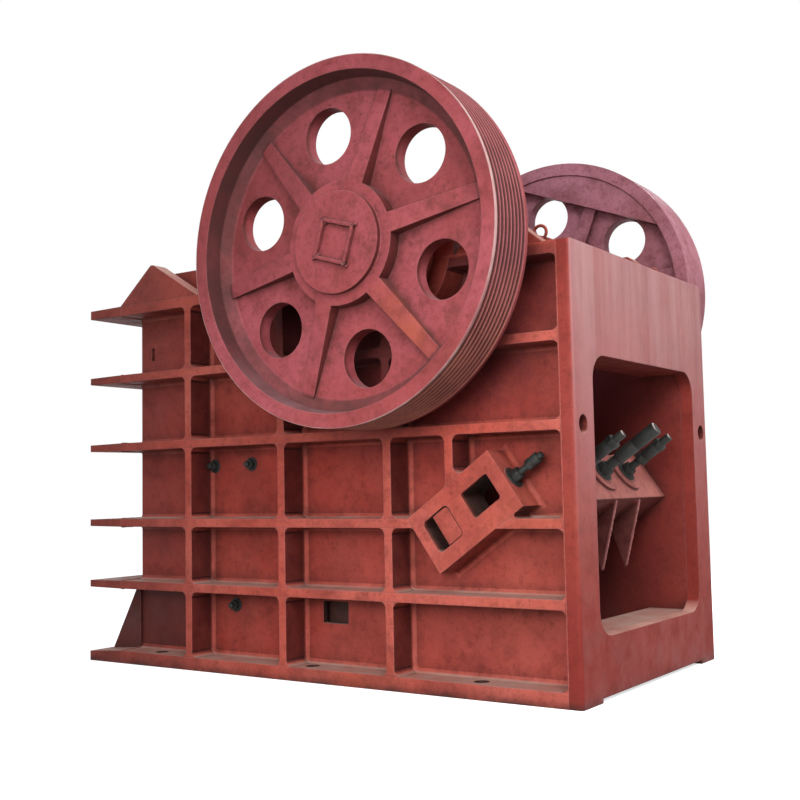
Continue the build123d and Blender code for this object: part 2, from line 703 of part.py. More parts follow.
# Cheek plates lining the chamber sides, an upper and a lower one on each side
with BuildPart() as cheek_plates_near:
    with BuildSketch(Plane.XZ.offset(inner_half - cheek_plate)):
        for high, low in ((jaw_top_z, cheek_split), (cheek_split - cheek_gap, jaw_low_z)):
            with BuildLine():
                Polyline(
                    (cheek_x(fixed_top_x, fixed_low_x, high) - jaw_plate, high),
                    (cheek_x(swing_top_x, swing_low_x, high) + cheek_lap, high),
                    (cheek_x(swing_top_x, swing_low_x, low) + cheek_lap, low),
                    (cheek_x(fixed_top_x, fixed_low_x, low) - jaw_plate, low),
                    (cheek_x(fixed_top_x, fixed_low_x, high) - jaw_plate, high),
                )
            make_face()
    extrude(amount=cheek_plate)
cheek_plates_near.part.label = "cheek_plates_near"
export_step(cheek_plates_near.part, "parts/cheek_plates_near.step")

with BuildPart() as cheek_plates_far:
    add(mirror(cheek_plates_near.part, about=Plane.XZ))
cheek_plates_far.part.label = "cheek_plates_far"
export_step(cheek_plates_far.part, "parts/cheek_plates_far.step")

# Main bearing housings with caps
with BuildPart() as bearing_base_near:
    with BuildSketch(Plane.XZ.offset(housing_start)):
        with Locations((shaft_x, shaft_z)):
            Circle(housing_radius)
            Circle(journal_radius + running_gap, mode=Mode.SUBTRACT)
    extrude(amount=housing_end - housing_start)
bearing_base_near.part.label = "bearing_base_near"
export_step(bearing_base_near.part, "parts/bearing_base_near.step")

with BuildPart() as bearing_base_far:
    add(mirror(bearing_base_near.part, about=Plane.XZ))
bearing_base_far.part.label = "bearing_base_far"
export_step(bearing_base_far.part, "parts/bearing_base_far.step")

with BuildPart() as bearing_cap_near:
    with BuildSketch(Plane.XZ.offset(inner_half)):
        with Locations((shaft_x, shaft_z)):
            Circle(cap_outer)
        with Locations((shaft_x, frame_height - cap_outer)):
            Rectangle(3 * cap_outer, 2 * cap_outer, mode=Mode.SUBTRACT)
        with Locations((shaft_x, frame_height + cap_foot_high / 2)):
            Rectangle(cap_foot_long, cap_foot_high)
        with Locations((shaft_x, shaft_z)):
            Circle(housing_radius, mode=Mode.SUBTRACT)
    extrude(amount=half_width - inner_half)
bearing_cap_near.part.label = "bearing_cap_near"
export_step(bearing_cap_near.part, "parts/bearing_cap_near.step")

with BuildPart() as bearing_cap_far:
    add(mirror(bearing_cap_near.part, about=Plane.XZ))
bearing_cap_far.part.label = "bearing_cap_far"
export_step(bearing_cap_far.part, "parts/bearing_cap_far.step")

# Eccentric shaft
with BuildPart() as eccentric_shaft:
    with BuildSketch(Plane.XZ):
        with Locations((shaft_x, shaft_z)):
            Circle(wheel_seat_radius)
    extrude(amount=hub_front, both=True)
    with BuildSketch(Plane.XZ):
        with Locations((shaft_x, shaft_z)):
            Circle(journal_radius)
    extrude(amount=hub_back, both=True)
    with BuildSketch(Plane.XZ):
        with Locations((shaft_x + eccentric_offset, shaft_z)):
            Circle(eccentric_radius)
    extrude(amount=jaw_half - eccentric_in, both=True)
eccentric_shaft.part.label = "eccentric_shaft"
export_step(eccentric_shaft.part, "parts/eccentric_shaft.step")

# Near wheel. Its profiles lie in the half plane beyond the shaft axis, with the radius along
# local X and the distance from the crusher's middle along local Y.
wheel_plane = Plane(origin=(shaft_x, 0, shaft_z), x_dir=(1, 0, 0), z_dir=(0, 0, 1))
wheel_axis = Axis((shaft_x, 0, shaft_z), (0, 1, 0))
rim_profile = [(rim_inner, -wheel_back), (wheel_radius, -wheel_back)]
groove_pitch = (wheel_width - 2 * groove_land) / groove_count
for index in range(groove_count):
    start = wheel_back + groove_land + index * groove_pitch
    rim_profile += [
        (wheel_radius, -start),
        (wheel_radius - groove_depth, -start - groove_pitch / 2),
    ]
rim_profile += [
    (wheel_radius, -wheel_front + groove_land),
    (wheel_radius, -wheel_front),
    (rim_inner + 4, -wheel_front),
    (rim_inner - 8, -web_front - rim_root / 2),
    (rim_inner - rim_root, -web_front),
    (rim_inner - rim_root, -web_back),
    (rim_inner, -wheel_back),
]

with BuildPart() as drive_pulley:
    # Six tapered spokes on both sides of the web
    with BuildSketch(Plane.XZ.offset(web_back - spoke_behind)):
        with Locations((shaft_x, shaft_z)):
            with PolarLocations(0, spoke_count, start_angle=hole_start + 30):
                Polygon(
                    (hub_radius - 30, -spoke_hub_width / 2), (rim_inner - 10, -spoke_rim_width / 2),
                    (rim_inner - 10, spoke_rim_width / 2), (hub_radius - 30, spoke_hub_width / 2),
                    align=None,
                )
    extrude(amount=hub_front - web_back + spoke_behind)
    # Their front edges slope down from the hub to the rim
    with BuildSketch(wheel_plane):
        with BuildLine():
            Polyline(
                (hub_radius, -hub_front), (rim_inner, -web_front - spoke_rise),
                (rim_inner, -hub_front - 20), (hub_radius, -hub_front - 20), (hub_radius, -hub_front),
            )
        make_face()
    revolve(axis=wheel_axis, mode=Mode.SUBTRACT)
    with BuildSketch(Plane.XZ.offset(web_back)):
        with Locations((shaft_x, shaft_z)):
            Circle(rim_inner - rim_root)
    extrude(amount=web_thick)
    with BuildSketch(wheel_plane):
        with BuildLine():
            Polyline(*rim_profile)
        make_face()
    revolve(axis=wheel_axis)
    with BuildSketch(Plane.XZ.offset(hub_back)):
        with Locations((shaft_x, shaft_z)):
            Circle(hub_radius)
    extrude(amount=hub_front - hub_back)
    with BuildSketch(Plane.XZ.offset(web_back - 60)):
        with Locations((shaft_x, shaft_z)):
            with PolarLocations(hole_circle, spoke_count, start_angle=hole_start):
                Circle(hole_radius)
    extrude(amount=web_thick + 120, mode=Mode.SUBTRACT)
    with BuildSketch(Plane.XZ.offset(hub_back)):
        with Locations((shaft_x, shaft_z)):
            Circle(wheel_seat_radius)
    extrude(amount=hub_front - hub_back, mode=Mode.SUBTRACT)
drive_pulley.part.label = "drive_pulley"
export_step(drive_pulley.part, "parts/drive_pulley.step")

# Far wheel: plain rim, the same web and spokes, and a counterweight segment on the inner side
with BuildPart() as flywheel:
    with BuildSketch(Plane.XZ.offset(-web_back + spoke_behind)):
        with Locations((shaft_x, shaft_z)):
            with PolarLocations(0, spoke_count, start_angle=flywheel_start + 30):
                Polygon(
                    (hub_radius - 30, -spoke_hub_width / 2), (rim_inner - 10, -spoke_rim_width / 2),
                    (rim_inner - 10, spoke_rim_width / 2), (hub_radius - 30, spoke_hub_width / 2),
                    align=None,
                )
    extrude(amount=-(hub_front - web_back + spoke_behind))
    with BuildSketch(wheel_plane):
        with BuildLine():
            Polyline(
                (hub_radius, hub_front), (rim_inner, web_front + spoke_rise),
                (rim_inner, hub_front + 20), (hub_radius, hub_front + 20), (hub_radius, hub_front),
            )
        make_face()
    revolve(axis=wheel_axis, mode=Mode.SUBTRACT)
    with BuildSketch(Plane.XZ.offset(-web_front)):
        with Locations((shaft_x, shaft_z)):
            Circle(rim_inner - rim_root)
    extrude(amount=web_thick)
    with BuildSketch(wheel_plane):
        with BuildLine():
            Polyline(
                (rim_inner - 16, web_back), (rim_inner, wheel_back), (wheel_radius, wheel_back),
                (wheel_radius, wheel_front), (rim_inner + 4, wheel_front),
                (rim_inner - 8, web_front + rim_root / 2), (rim_inner - rim_root, web_front),
                (rim_inner - rim_root, web_back), (rim_inner - 16, web_back),
            )
        make_face()
    revolve(axis=wheel_axis)
    with BuildSketch(Plane.XZ.offset(-web_back - 10)):
        with Locations((shaft_x, shaft_z)):
            Circle(rim_inner + 2)
            with PolarLocations(-weight_depth, 1, start_angle=weight_angle):
                Rectangle(2 * rim_inner, 4 * rim_inner, mode=Mode.SUBTRACT)
    extrude(amount=web_back - wheel_back)
    with BuildSketch(Plane.XZ.offset(-hub_front)):
        with Locations((shaft_x, shaft_z)):
            Circle(hub_radius)
    extrude(amount=hub_front - hub_back)
    with BuildSketch(Plane.XZ.offset(-web_front - 60)):
        with Locations((shaft_x, shaft_z)):
            with PolarLocations(hole_circle, spoke_count, start_angle=flywheel_start):
                Circle(hole_radius)
    extrude(amount=web_thick + 60, mode=Mode.SUBTRACT)
    with BuildSketch(Plane.XZ.offset(-hub_front)):
        with Locations((shaft_x, shaft_z)):
            Circle(wheel_seat_radius)
    extrude(amount=hub_front - hub_back, mode=Mode.SUBTRACT)
flywheel.part.label = "flywheel"
export_step(flywheel.part, "parts/flywheel.step")

# End caps on the hubs
with BuildPart() as end_cap_near:
    with BuildSketch(Plane.XZ.offset(hub_front)):
        with Locations((shaft_x, shaft_z)):
            Circle(cap_radius)
    extrude(amount=cap_thick)
end_cap_near.part.label = "end_cap_near"
export_step(end_cap_near.part, "parts/end_cap_near.step")

with BuildPart() as end_cap_far:
    add(mirror(end_cap_near.part, about=Plane.XZ))
end_cap_far.part.label = "end_cap_far"
export_step(end_cap_far.part, "parts/end_cap_far.step")

# Square frame of four crossing bars on the near cap
bar_middle = (bar_side - bar_width) / 2
with BuildPart() as cap_frame:
    with BuildSketch(Plane.XZ.offset(cap_front)):
        with Locations((shaft_x, shaft_z)):
            with PolarLocations(bar_middle, 4, start_angle=bar_turn):
                Rectangle(bar_width, bar_side + 10)
    extrude(amount=bar_high)
cap_frame.part.label = "cap_frame"
export_step(cap_frame.part, "parts/cap_frame.step")
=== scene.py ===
import bpy
import json
import math
from mathutils import Matrix, Vector


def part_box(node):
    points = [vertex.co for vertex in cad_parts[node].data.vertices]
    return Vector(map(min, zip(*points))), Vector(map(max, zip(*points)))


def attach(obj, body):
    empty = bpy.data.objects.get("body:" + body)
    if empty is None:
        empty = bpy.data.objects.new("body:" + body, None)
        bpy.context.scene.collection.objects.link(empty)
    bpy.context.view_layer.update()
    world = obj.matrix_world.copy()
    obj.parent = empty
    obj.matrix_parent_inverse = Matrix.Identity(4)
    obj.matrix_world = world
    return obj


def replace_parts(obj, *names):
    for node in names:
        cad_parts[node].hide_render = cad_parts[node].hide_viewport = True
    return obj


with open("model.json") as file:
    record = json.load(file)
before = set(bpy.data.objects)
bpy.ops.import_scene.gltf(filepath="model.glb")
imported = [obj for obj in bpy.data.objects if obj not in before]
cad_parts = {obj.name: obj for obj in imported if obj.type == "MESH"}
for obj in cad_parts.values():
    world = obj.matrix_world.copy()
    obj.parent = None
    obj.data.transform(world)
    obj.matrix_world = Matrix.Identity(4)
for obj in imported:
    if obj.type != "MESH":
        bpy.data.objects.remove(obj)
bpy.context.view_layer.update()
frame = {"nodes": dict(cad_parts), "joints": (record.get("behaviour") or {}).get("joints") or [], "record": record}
nodes = frame["nodes"]

# All sizes are in metres. The near side is at -Y, and the frame's far side mirrors it.


def lowest(node, axis):
    """Where a CAD node begins along an axis, to a tenth of a millimetre."""
    return round(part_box(node)[0]["xyz".index(axis)], 4)


def highest(node, axis):
    """Where a CAD node ends along an axis, to a tenth of a millimetre."""
    return round(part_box(node)[1]["xyz".index(axis)], 4)


def middle(node, axis):
    """Middle of a CAD node along an axis, to a tenth of a millimetre."""
    low, high = (corner["xyz".index(axis)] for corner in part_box(node))
    return round((low + high) / 2, 4)


# Shaft axis and slanted box in X and Z, and half the length and width of the box
SHAFT = tuple(frame["joints"][0]["pos_m"][::2])
BOX_CENTRE = (middle("toggle_box_near", "x"), middle("toggle_box_near", "z"))
BOX_HALF = (0.246, 0.1405)
BOX_TILT = math.radians(35)

# Faces of the frame. Those along Y are distances from the middle plane.
FRONT_FACE = lowest("front_wall", "x")
REAR_FACE = lowest("rear_wall", "x")
FRAME_TOP = highest("rear_wall", "z")
WALL_INSIDE = lowest("side_wall_far", "y")
WALL_FACE = highest("side_wall_far", "y")
SIDE_FACE = highest("side_ribs_far", "y")

# Bays between the horizontal ribs
BASE_TOP = 0.063
RIB_THICK = 0.041
RIB_UNDERSIDES = [0.379, 0.697, 1.089, 1.446, 1.799]
RIB_TOPS = [round(z + RIB_THICK, 4) for z in RIB_UNDERSIDES]
BAY_ROWS = list(zip([BASE_TOP] + RIB_TOPS, RIB_UNDERSIDES))

# Bays between the upright ribs, which are named by their front faces
RIB_A = lowest("upright_ribs_near", "x")
RIB_B = round(SHAFT[0] - 0.643, 4)
RIB_C = round(SHAFT[0] - 0.038, 4)
RIB_D = round(BOX_CENTRE[0] - 0.088, 4)
UPRIGHT_THICK = 0.040
BEHIND_A, BEHIND_B, BEHIND_C, BEHIND_D = (
    round(rib + UPRIGHT_THICK, 4) for rib in (RIB_A, RIB_B, RIB_C, RIB_D))
BAY_COLUMNS = [(BEHIND_A, RIB_B), (BEHIND_B, RIB_C), (BEHIND_C, REAR_FACE)]

# Underside of the bearing saddle, and roundings of the bays
SADDLE_RADIUS = 0.330
BAY_RADIUS = 0.030
ROOT_FILLET = 0.020
CORNER_STEPS = 6
FILLET_STEPS = 4

# Wheels: distances from the shaft axis
LAND_RADIUS = 0.7745
RIM_MOUTH = 0.7145
RECESS_RADIUS = 0.652
HUB_RADIUS = 0.265

# Wheels: distances from the middle plane
BAND_BACK, BAND_FRONT = 0.896, 1.121
WEB_FACE = 1.030
HUB_FACE = lowest("end_cap_far", "y")
CAP_FACE = highest("end_cap_far", "y")
RIM_FACE = 1.1375

# Studs, bolts and lifting eyes
STUD_ROWS = (-0.265, 0.0, 0.265)
STUD_FOOT = (0.332, -0.030)
SIDE_STUD_ROWS = (-0.675, 0.675)
CHEEK_BOLTS = ((-0.4335, 1.001), (-0.6805, 0.997), (-0.5425, 0.311))
CAP_FOOT_HIGH = 0.070
CAP_BOLT_SPACING = 0.3335
CAP_BOLT_ROWS = (0.607, 0.711)
EYE_ROWS = (-0.610, 0.610)
EYE_RISE = 0.071
WASHER_CHAMFER = 0.0015

# Camera of the photograph, which is 800 by 800 pixels
PHOTO_SIDE = 800
FOCAL_PIXELS = 1130.04
CAMERA_PLACE = (3.3315, -4.780, 0.872)
CAMERA_AZIMUTH = 34.486
CAMERA_PITCH = 4.4254
CAMERA_ROLL = -1.1208


def photo_camera():
    azimuth, pitch, roll = (math.radians(a) for a in (CAMERA_AZIMUTH, CAMERA_PITCH, CAMERA_ROLL))
    level = Vector((math.cos(azimuth), math.sin(azimuth), 0))
    ahead = Vector((-math.sin(azimuth), math.cos(azimuth), 0))
    forward = ahead * math.cos(pitch) + Vector((0, 0, math.sin(pitch)))
    over = level.cross(forward)
    right = level * math.cos(roll) + over * math.sin(roll)
    up = over * math.cos(roll) - level * math.sin(roll)
    data = bpy.data.cameras.new("photo_camera")
    data.sensor_width = 36
    data.lens = FOCAL_PIXELS / PHOTO_SIDE * data.sensor_width
    data.clip_end = 200
    camera = bpy.data.objects.new("photo_camera", data)
    turn = Matrix((right, up, -forward)).transposed().to_4x4()
    camera.matrix_world = Matrix.Translation(CAMERA_PLACE) @ turn
    bpy.context.scene.collection.objects.link(camera)
    bpy.context.scene.camera = camera


class Shader:
    """A material whose nodes are added one by one and joined by socket."""

    def __init__(self, name, roughness=0.6, metallic=0.0, specular=0.5):
        self.material = bpy.data.materials.new(name)
        self.material.use_nodes = True
        self.tree = self.material.node_tree
        self.bsdf = self.tree.nodes["Principled BSDF"]
        self.bsdf.inputs["Roughness"].default_value = roughness
        self.bsdf.inputs["Metallic"].default_value = metallic
        self.bsdf.inputs["Specular IOR Level"].default_value = specular
        self.place = self.tree.nodes.new("ShaderNodeTexCoord")
        self.x, self.y, self.z = self.add("ShaderNodeSeparateXYZ", {0: self.place.outputs["Object"]}).outputs
        facing = self.add("ShaderNodeSeparateXYZ", {0: self.place.outputs["Normal"]})
        self.facing_x, self.facing_y, self.facing_z = facing.outputs

    def add(self, kind, inputs=None, **settings):
        node = self.tree.nodes.new(kind)
        for key, value in settings.items():
            setattr(node, key, value)
        for key, value in (inputs or {}).items():
            if hasattr(value, "is_output"):
                self.tree.links.new(value, node.inputs[key])
            else:
                node.inputs[key].default_value = value
        return node

    def noise(self, scale, detail=4.0, roughness=0.55, stretch=None, distortion=0.0):
        vector = self.place.outputs["Object"]
        if stretch:
            vector = self.add("ShaderNodeMapping", {"Vector": vector, "Scale": stretch}).outputs["Vector"]
        node = self.add("ShaderNodeTexNoise", {
            "Vector": vector, "Scale": scale, "Detail": detail, "Roughness": roughness,
            "Distortion": distortion})
        return node.outputs["Fac"]

    def ramp(self, value, low, high, to_low=0.0, to_high=1.0):
        node = self.add("ShaderNodeMapRange", {
            "Value": value, "From Min": low, "From Max": high, "To Min": to_low, "To Max": to_high})
        return node.outputs["Result"]

    def above(self, value, level, soft=0.002, most=1.0):
        """From 0 at a level to the most, a soft step higher."""
        return self.ramp(value, level, level + soft, 0.0, most)

    def below(self, value, level, soft=0.002, most=1.0):
        """From 0 at a level to the most, a soft step lower."""
        return self.ramp(value, level, level - soft, 0.0, most)

    def patches(self, scale, least, most, detail=5, rough=0.6, low=0.3, high=0.6, **form):
        """A share that varies in clouds, from the least where the noise is low to the most."""
        return self.ramp(self.noise(scale, detail, rough, **form), low, high, least, most)

    def math(self, operation, a, b=0.0):
        return self.add("ShaderNodeMath", {0: a, 1: b}, operation=operation).outputs[0]

    def times(self, *shares):
        result = shares[0]
        for share in shares[1:]:
            result = self.math("MULTIPLY", result, share)
        return result

    def mix(self, share, a, b):
        a, b = (colour if hasattr(colour, "is_output") else (*colour, 1) for colour in (a, b))
        return self.add("ShaderNodeMix", {0: share, 6: a, 7: b}, data_type="RGBA").outputs[2]

    def layered(self, colour, *layers):
        """A colour with tints laid over it in turn, each by its share."""
        for share, tint in layers:
            colour = self.mix(share, colour, tint)
        return colour

    def link(self, output, socket):
        self.tree.links.new(output, self.bsdf.inputs[socket])

    def bump(self, height, strength, distance, onto):
        return self.add("ShaderNodeBump", {
            "Height": height, "Strength": strength, "Distance": distance, "Normal": onto}).outputs["Normal"]

    def soft_edges(self, radius):
        """The normal rounded at the edges, and how near an edge each point lies."""
        rounded_normal = self.add("ShaderNodeBevel", {"Radius": radius}, samples=4).outputs["Normal"]
        flat_normal = self.add("ShaderNodeNewGeometry").outputs["Normal"]
        same = self.add("ShaderNodeVectorMath", {0: rounded_normal, 1: flat_normal}, operation="DOT_PRODUCT")
        return rounded_normal, self.ramp(same.outputs["Value"], 0.99, 0.8)

    # Mask for painted shade and dirt in the corners
    def corner_shade_and_dirt(self, distance):
        """How deep in a corner each point lies, from 0 in the open to 1."""
        open_share = self.add("ShaderNodeAmbientOcclusion", {"Distance": distance}, samples=6).outputs["AO"]
        return self.ramp(open_share, 0.86, 0.42)

    def out(self):
        """Distance from the middle plane."""
        return self.math("ABSOLUTE", self.y)

    def side_on(self):
        """How squarely a face looks to either side."""
        return self.math("ABSOLUTE", self.facing_y)

    def from_shaft(self):
        """Distance from the shaft axis."""
        a = self.math("SUBTRACT", self.x, SHAFT[0])
        b = self.math("SUBTRACT", self.z, SHAFT[1])
        return self.math("SQRT", self.math("ADD", self.times(a, a), self.times(b, b)))

    def along_box(self):
        """Places along and across the slanted box, from its middle."""
        x = self.math("SUBTRACT", self.x, BOX_CENTRE[0])
        z = self.math("SUBTRACT", self.z, BOX_CENTRE[1])
        c, n = math.cos(BOX_TILT), math.sin(BOX_TILT)
        along = self.math("ADD", self.times(x, c), self.times(z, n))
        return along, self.math("SUBTRACT", self.times(z, c), self.times(x, n))

    def under_top(self):
        """1 below the frame's top face."""
        return self.below(self.z, FRAME_TOP - 0.005, soft=0.01)


# Tints, as linear red, green and blue
DARK_RED = (0.13, 0.020, 0.016)
# Painted shade for faces that look down
UNDERSIDE_SHADE = (0.11, 0.017, 0.014)
LOW_RED = (0.20, 0.018, 0.012)
PALE_RED = (0.56, 0.26, 0.25)
# Painted shade and dirt, in corners and along the foot
SHADE_AND_DIRT = (0.045, 0.016, 0.013)
ORANGE = (0.42, 0.085, 0.035)
GREY_DUST = (0.45, 0.30, 0.25)
# Painted highlight on the crests of the belt grooves
LAND_HIGHLIGHT = (0.58, 0.18, 0.19)
# Painted shade and grime deep in the belt grooves
GROOVE_SHADE_AND_GRIME = (0.06, 0.02, 0.022)
TOP_GREY = (0.15, 0.10, 0.11)
WORN_EDGE = (0.62, 0.42, 0.40)
LIP_GRIME = (0.085, 0.03, 0.03)
RIM_ORANGE = (0.72, 0.26, 0.17)
SMUT = (0.15, 0.034, 0.028)
SOOT = (0.05, 0.02, 0.02)
# Painted shade on the sides of the spokes and holes
HOLE_SHADE = (0.10, 0.02, 0.017)
# Painted shade on the inner wall of the rim
THROAT_SHADE = (0.075, 0.030, 0.028)
# Painted shade on the upper left of the web, where the rim shades it
LEE_SHADE = (0.13, 0.026, 0.026)
SPOKE_ORANGE = (0.46, 0.10, 0.045)
# Painted shade inside the windows of the slanted boxes
WINDOW_SHADE = (0.016, 0.013, 0.011)
# Painted shade on the inner faces of the side walls
INSIDE_SHADE = (0.085, 0.012, 0.012)
# Painted shadow of the wheels on the side walls
WHEEL_SHADOW = (0.085, 0.016, 0.022)
# Painted shade in the front bottom bay, under the gusset
CORNER_SHADE = (0.06, 0.012, 0.010)
# Painted shade on the edges of the small low window
REVEAL_SHADE = (0.02, 0.018, 0.015)
# Painted shade and dust on the lower swinging jaw
CHAMBER_SHADE_AND_DUST = (0.040, 0.026, 0.022)
RIB_SHADE = (0.070, 0.010, 0.010)
# Painted shade in the bolt holes of the base
BOLT_HOLE_SHADE = (0.015, 0.012, 0.010)
# Painted shadow of the wheels on the ribs
RIB_WHEEL_SHADOW = (0.07, 0.014, 0.018)
FRONT_SHADE = (0.10, 0.024, 0.022)
BEAM_SHADE = (0.075, 0.014, 0.013)


def sheen_and_streaks(s, colour, pale, share):
    """Pale upright streaks high on faces that look to the rear, partly painted sheen and partly dust, and a deeper
    red low down.
    """
    brushed = s.noise(5.5, 6, 0.7, stretch=(1.0, 1.6, 0.1))
    rearward = s.times(s.above(s.facing_x, 0.5, soft=0.4), s.above(s.z, 0.35, soft=1.45))
    # Painted sheen and dusty streaks high on the rear faces
    high = s.times(rearward, s.ramp(brushed, 0.3, 0.66, 0.45, 1.0), share)
    low = s.times(s.below(s.z, 0.9, soft=0.8, most=0.8), s.ramp(brushed, 0.35, 0.65, 0.65, 1.0))
    return s.layered(colour, (high, pale), (low, LOW_RED))


def red_primer(name, deep, rose, dust=GREY_DUST, orange=0.4, streaks=0.0, pale=PALE_RED, finish=None):
    """Matt red-oxide primer: cloudy colour, painted shade and dirt in the corners, painted shade on what faces
    down, dust on what faces up, and painted shadow and dirt along the foot.
    """
    s = Shader(name, roughness=0.6, specular=0.22)
    blotch = s.noise(9.0, 8, 0.68)
    speck = s.noise(85.0, 4, 0.7)
    colour = s.layered(
        s.mix(s.patches(1.3, 0.0, 1.0, low=0.36, high=0.64), deep, rose),
        (s.patches(0.8, 0.0, orange, detail=3, rough=0.5, low=0.56, high=0.7, distortion=0.6), ORANGE),
        (s.patches(7.0, 0.0, 0.35, detail=6, low=0.52, high=0.78, stretch=(2.5, 2.5, 0.3)), rose),
        (s.patches(3.2, 0.0, 0.55, detail=6, rough=0.65, low=0.46, high=0.7, distortion=0.3), DARK_RED),
        (s.ramp(blotch, 0.52, 0.76, 0.0, 0.6), DARK_RED),
        (s.patches(34.0, 0.0, 0.42, detail=7, rough=0.7, low=0.5, high=0.68, distortion=0.2), DARK_RED),
        (s.ramp(speck, 0.55, 0.75, 0.0, 0.5), DARK_RED))
    if streaks:
        colour = sheen_and_streaks(s, colour, pale, streaks)
    # Painted shade on faces that look down, in cloudy strength
    under = s.times(s.below(s.facing_z, -0.25, soft=0.55), s.ramp(blotch, 0.3, 0.6, 0.45, 0.75))
    normal, edge = s.soft_edges(0.007)
    worn = s.times(edge, s.ramp(blotch, 0.35, 0.6, 0.08, 0.45))
    colour = s.layered(colour, (under, UNDERSIDE_SHADE), (worn, pale))
    if finish:
        colour = finish(s, colour)
    # Painted shade and dirt in the corners, by ambient occlusion
    corner = s.times(s.corner_shade_and_dirt(0.09), s.ramp(blotch, 0.3, 0.62, 0.45, 1.0), 0.8)
    upward = s.above(s.facing_z, 0.55, soft=0.4)
    dusty = s.times(upward, s.patches(6.0, 0.35, 0.9, detail=7, rough=0.7))
    # Painted shadow and dirt along the foot of the frame
    low = s.below(s.z, 0.028, soft=0.026)
    foot = s.times(low, s.patches(5.0, 0.1, 0.9, detail=7, rough=0.7, low=0.42))
    s.link(s.layered(colour, (corner, SHADE_AND_DIRT), (dusty, dust), (foot, SHADE_AND_DIRT)), "Base Color")
    s.link(s.ramp(blotch, 0.3, 0.7, 0.5, 0.75), "Roughness")
    grain = s.bump(s.noise(40.0, 6, 0.68), 0.5, 0.004, normal)
    s.link(s.bump(speck, 0.4, 0.0015, grain), "Normal")
    return s.material


def rim_marks(s, colour, radius, out):
    """Painted highlight on the groove crests, painted shade and grime in the belt grooves, grime at the lip, a
    worn front edge and a grey top.
    """
    band = s.times(s.above(out, BAND_BACK), s.below(out, BAND_FRONT), s.above(radius, 0.74, soft=0.01))
    # Painted highlight on the groove crests
    lands = s.times(band, s.above(radius, LAND_RADIUS - 0.0045, soft=0.0045, most=0.55))
    # Painted shade and grime deeper in the grooves
    grooves = s.times(band, s.below(radius, LAND_RADIUS, soft=0.006, most=0.86))
    high = s.above(s.z, 2.2, soft=0.35, most=0.4)
    top = s.times(band, high, s.patches(9.0, 0.4, 0.9, low=0.35))
    edge = s.times(s.above(radius, LAND_RADIUS - 0.002), s.above(out, BAND_FRONT, soft=0.005))
    worn = s.times(edge, s.patches(5.0, 0.35, 1.0, detail=4, low=0.35))
    lip = s.times(s.above(radius, RIM_MOUTH - 0.0165, soft=0.005), s.below(radius, RIM_MOUTH, soft=0.001))
    lip = s.times(lip, s.below(out, RIM_FACE, soft=0.0015), s.patches(7.0, 0.3, 0.9, detail=6, rough=0.65))
    low = s.times(band, s.below(s.z, 1.75, soft=0.5), s.ramp(radius, 0.768, LAND_RADIUS, 0.45, 1.0))
    low = s.times(low, s.patches(6.0, 0.3, 0.8, low=0.35))
    return s.layered(
        colour, (lands, LAND_HIGHLIGHT), (grooves, GROOVE_SHADE_AND_GRIME), (top, TOP_GREY), (worn, WORN_EDGE),
        (lip, LIP_GRIME), (low, RIM_ORANGE))


def recess_marks(s, colour, radius, out):
    """Smut on the web, painted shade on the sides of the holes and spokes, in the rim throat and on the upper left
    of the web, and a bare orange patch on a lower spoke.
    """
    east = s.math("SUBTRACT", s.x, SHAFT[0])
    beside_rim = s.below(radius, RECESS_RADIUS, soft=0.007)
    within = s.times(beside_rim, s.above(out, 1.0, soft=0.02))
    smut = s.times(within, s.patches(11.0, 0.0, 0.75, detail=10, rough=0.75, low=0.5, high=0.66))
    sooty = s.times(within, s.patches(30.0, 0.0, 0.7, low=0.62, high=0.72), s.above(s.z, 1.9, soft=0.5))
    # Painted shade on the sides of the spokes and holes
    holes = s.times(within, s.below(s.side_on(), 0.6, soft=0.4), s.above(radius, 0.2, soft=0.01), 0.62)
    # Painted shade on the inner wall of the rim
    throat = s.times(s.above(radius, 0.648, soft=0.012), s.below(radius, RIM_MOUTH - 0.0007, soft=0.001))
    throat = s.times(throat, s.below(out, RIM_FACE - 0.0003, soft=0.001))
    throat = s.times(throat, s.patches(5.0, 0.9, 0.45, detail=7, rough=0.65, low=0.35, high=0.62))
    # Painted shade on the upper left of the web, where the rim shades it
    upper_left_shade = s.times(within, s.below(east, 0.05, soft=0.5, most=0.4), s.above(s.z, 1.7, soft=0.3))
    upper_left_shade = s.times(upper_left_shade, s.above(radius, HUB_RADIUS + 0.005, soft=0.03))
    proud = s.times(s.above(out, WEB_FACE + 0.0015, soft=0.0015), s.below(out, HUB_FACE + 0.0005, soft=0.001))
    lower = s.times(s.above(east, -0.1, soft=0.35), s.below(s.z, 1.95, soft=0.25))
    spoke = s.times(s.above(radius, HUB_RADIUS, soft=0.01), beside_rim, proud, lower)
    spoke = s.times(spoke, s.patches(5.0, 0.1, 0.6, low=0.4, high=0.62))
    return s.layered(
        colour, (smut, SMUT), (sooty, SOOT), (holes, HOLE_SHADE), (throat, THROAT_SHADE), (upper_left_shade, LEE_SHADE),
        (spoke, SPOKE_ORANGE))


def wheel_marks(s, colour):
    """All marks of the near pulley, its end cap and the square of bars."""
    radius, out = s.from_shaft(), s.out()
    return recess_marks(s, rim_marks(s, colour, radius, out), radius, out)


def front_end(s, colour):
    """Painted shade on the side faces of the front end."""
    front = s.times(s.below(s.x, -0.55, soft=0.5, most=0.42), s.above(s.side_on(), 0.4, soft=0.4))
    return s.mix(front, colour, FRONT_SHADE)


def window_walls(s, colour, out):
    """Painted shade on the walls inside the two windows of each slanted box."""
    along, across = (s.math("ABSOLUTE", place) for place in s.along_box())
    window = s.times(s.below(out, SIDE_FACE - 0.003, soft=0.024), s.patches(14.0, 0.86, 0.97))
    for place, half in zip((along, across), BOX_HALF):
        window = s.times(window, s.below(place, half - 0.0015, soft=0.001))
    return s.mix(window, colour, WINDOW_SHADE)


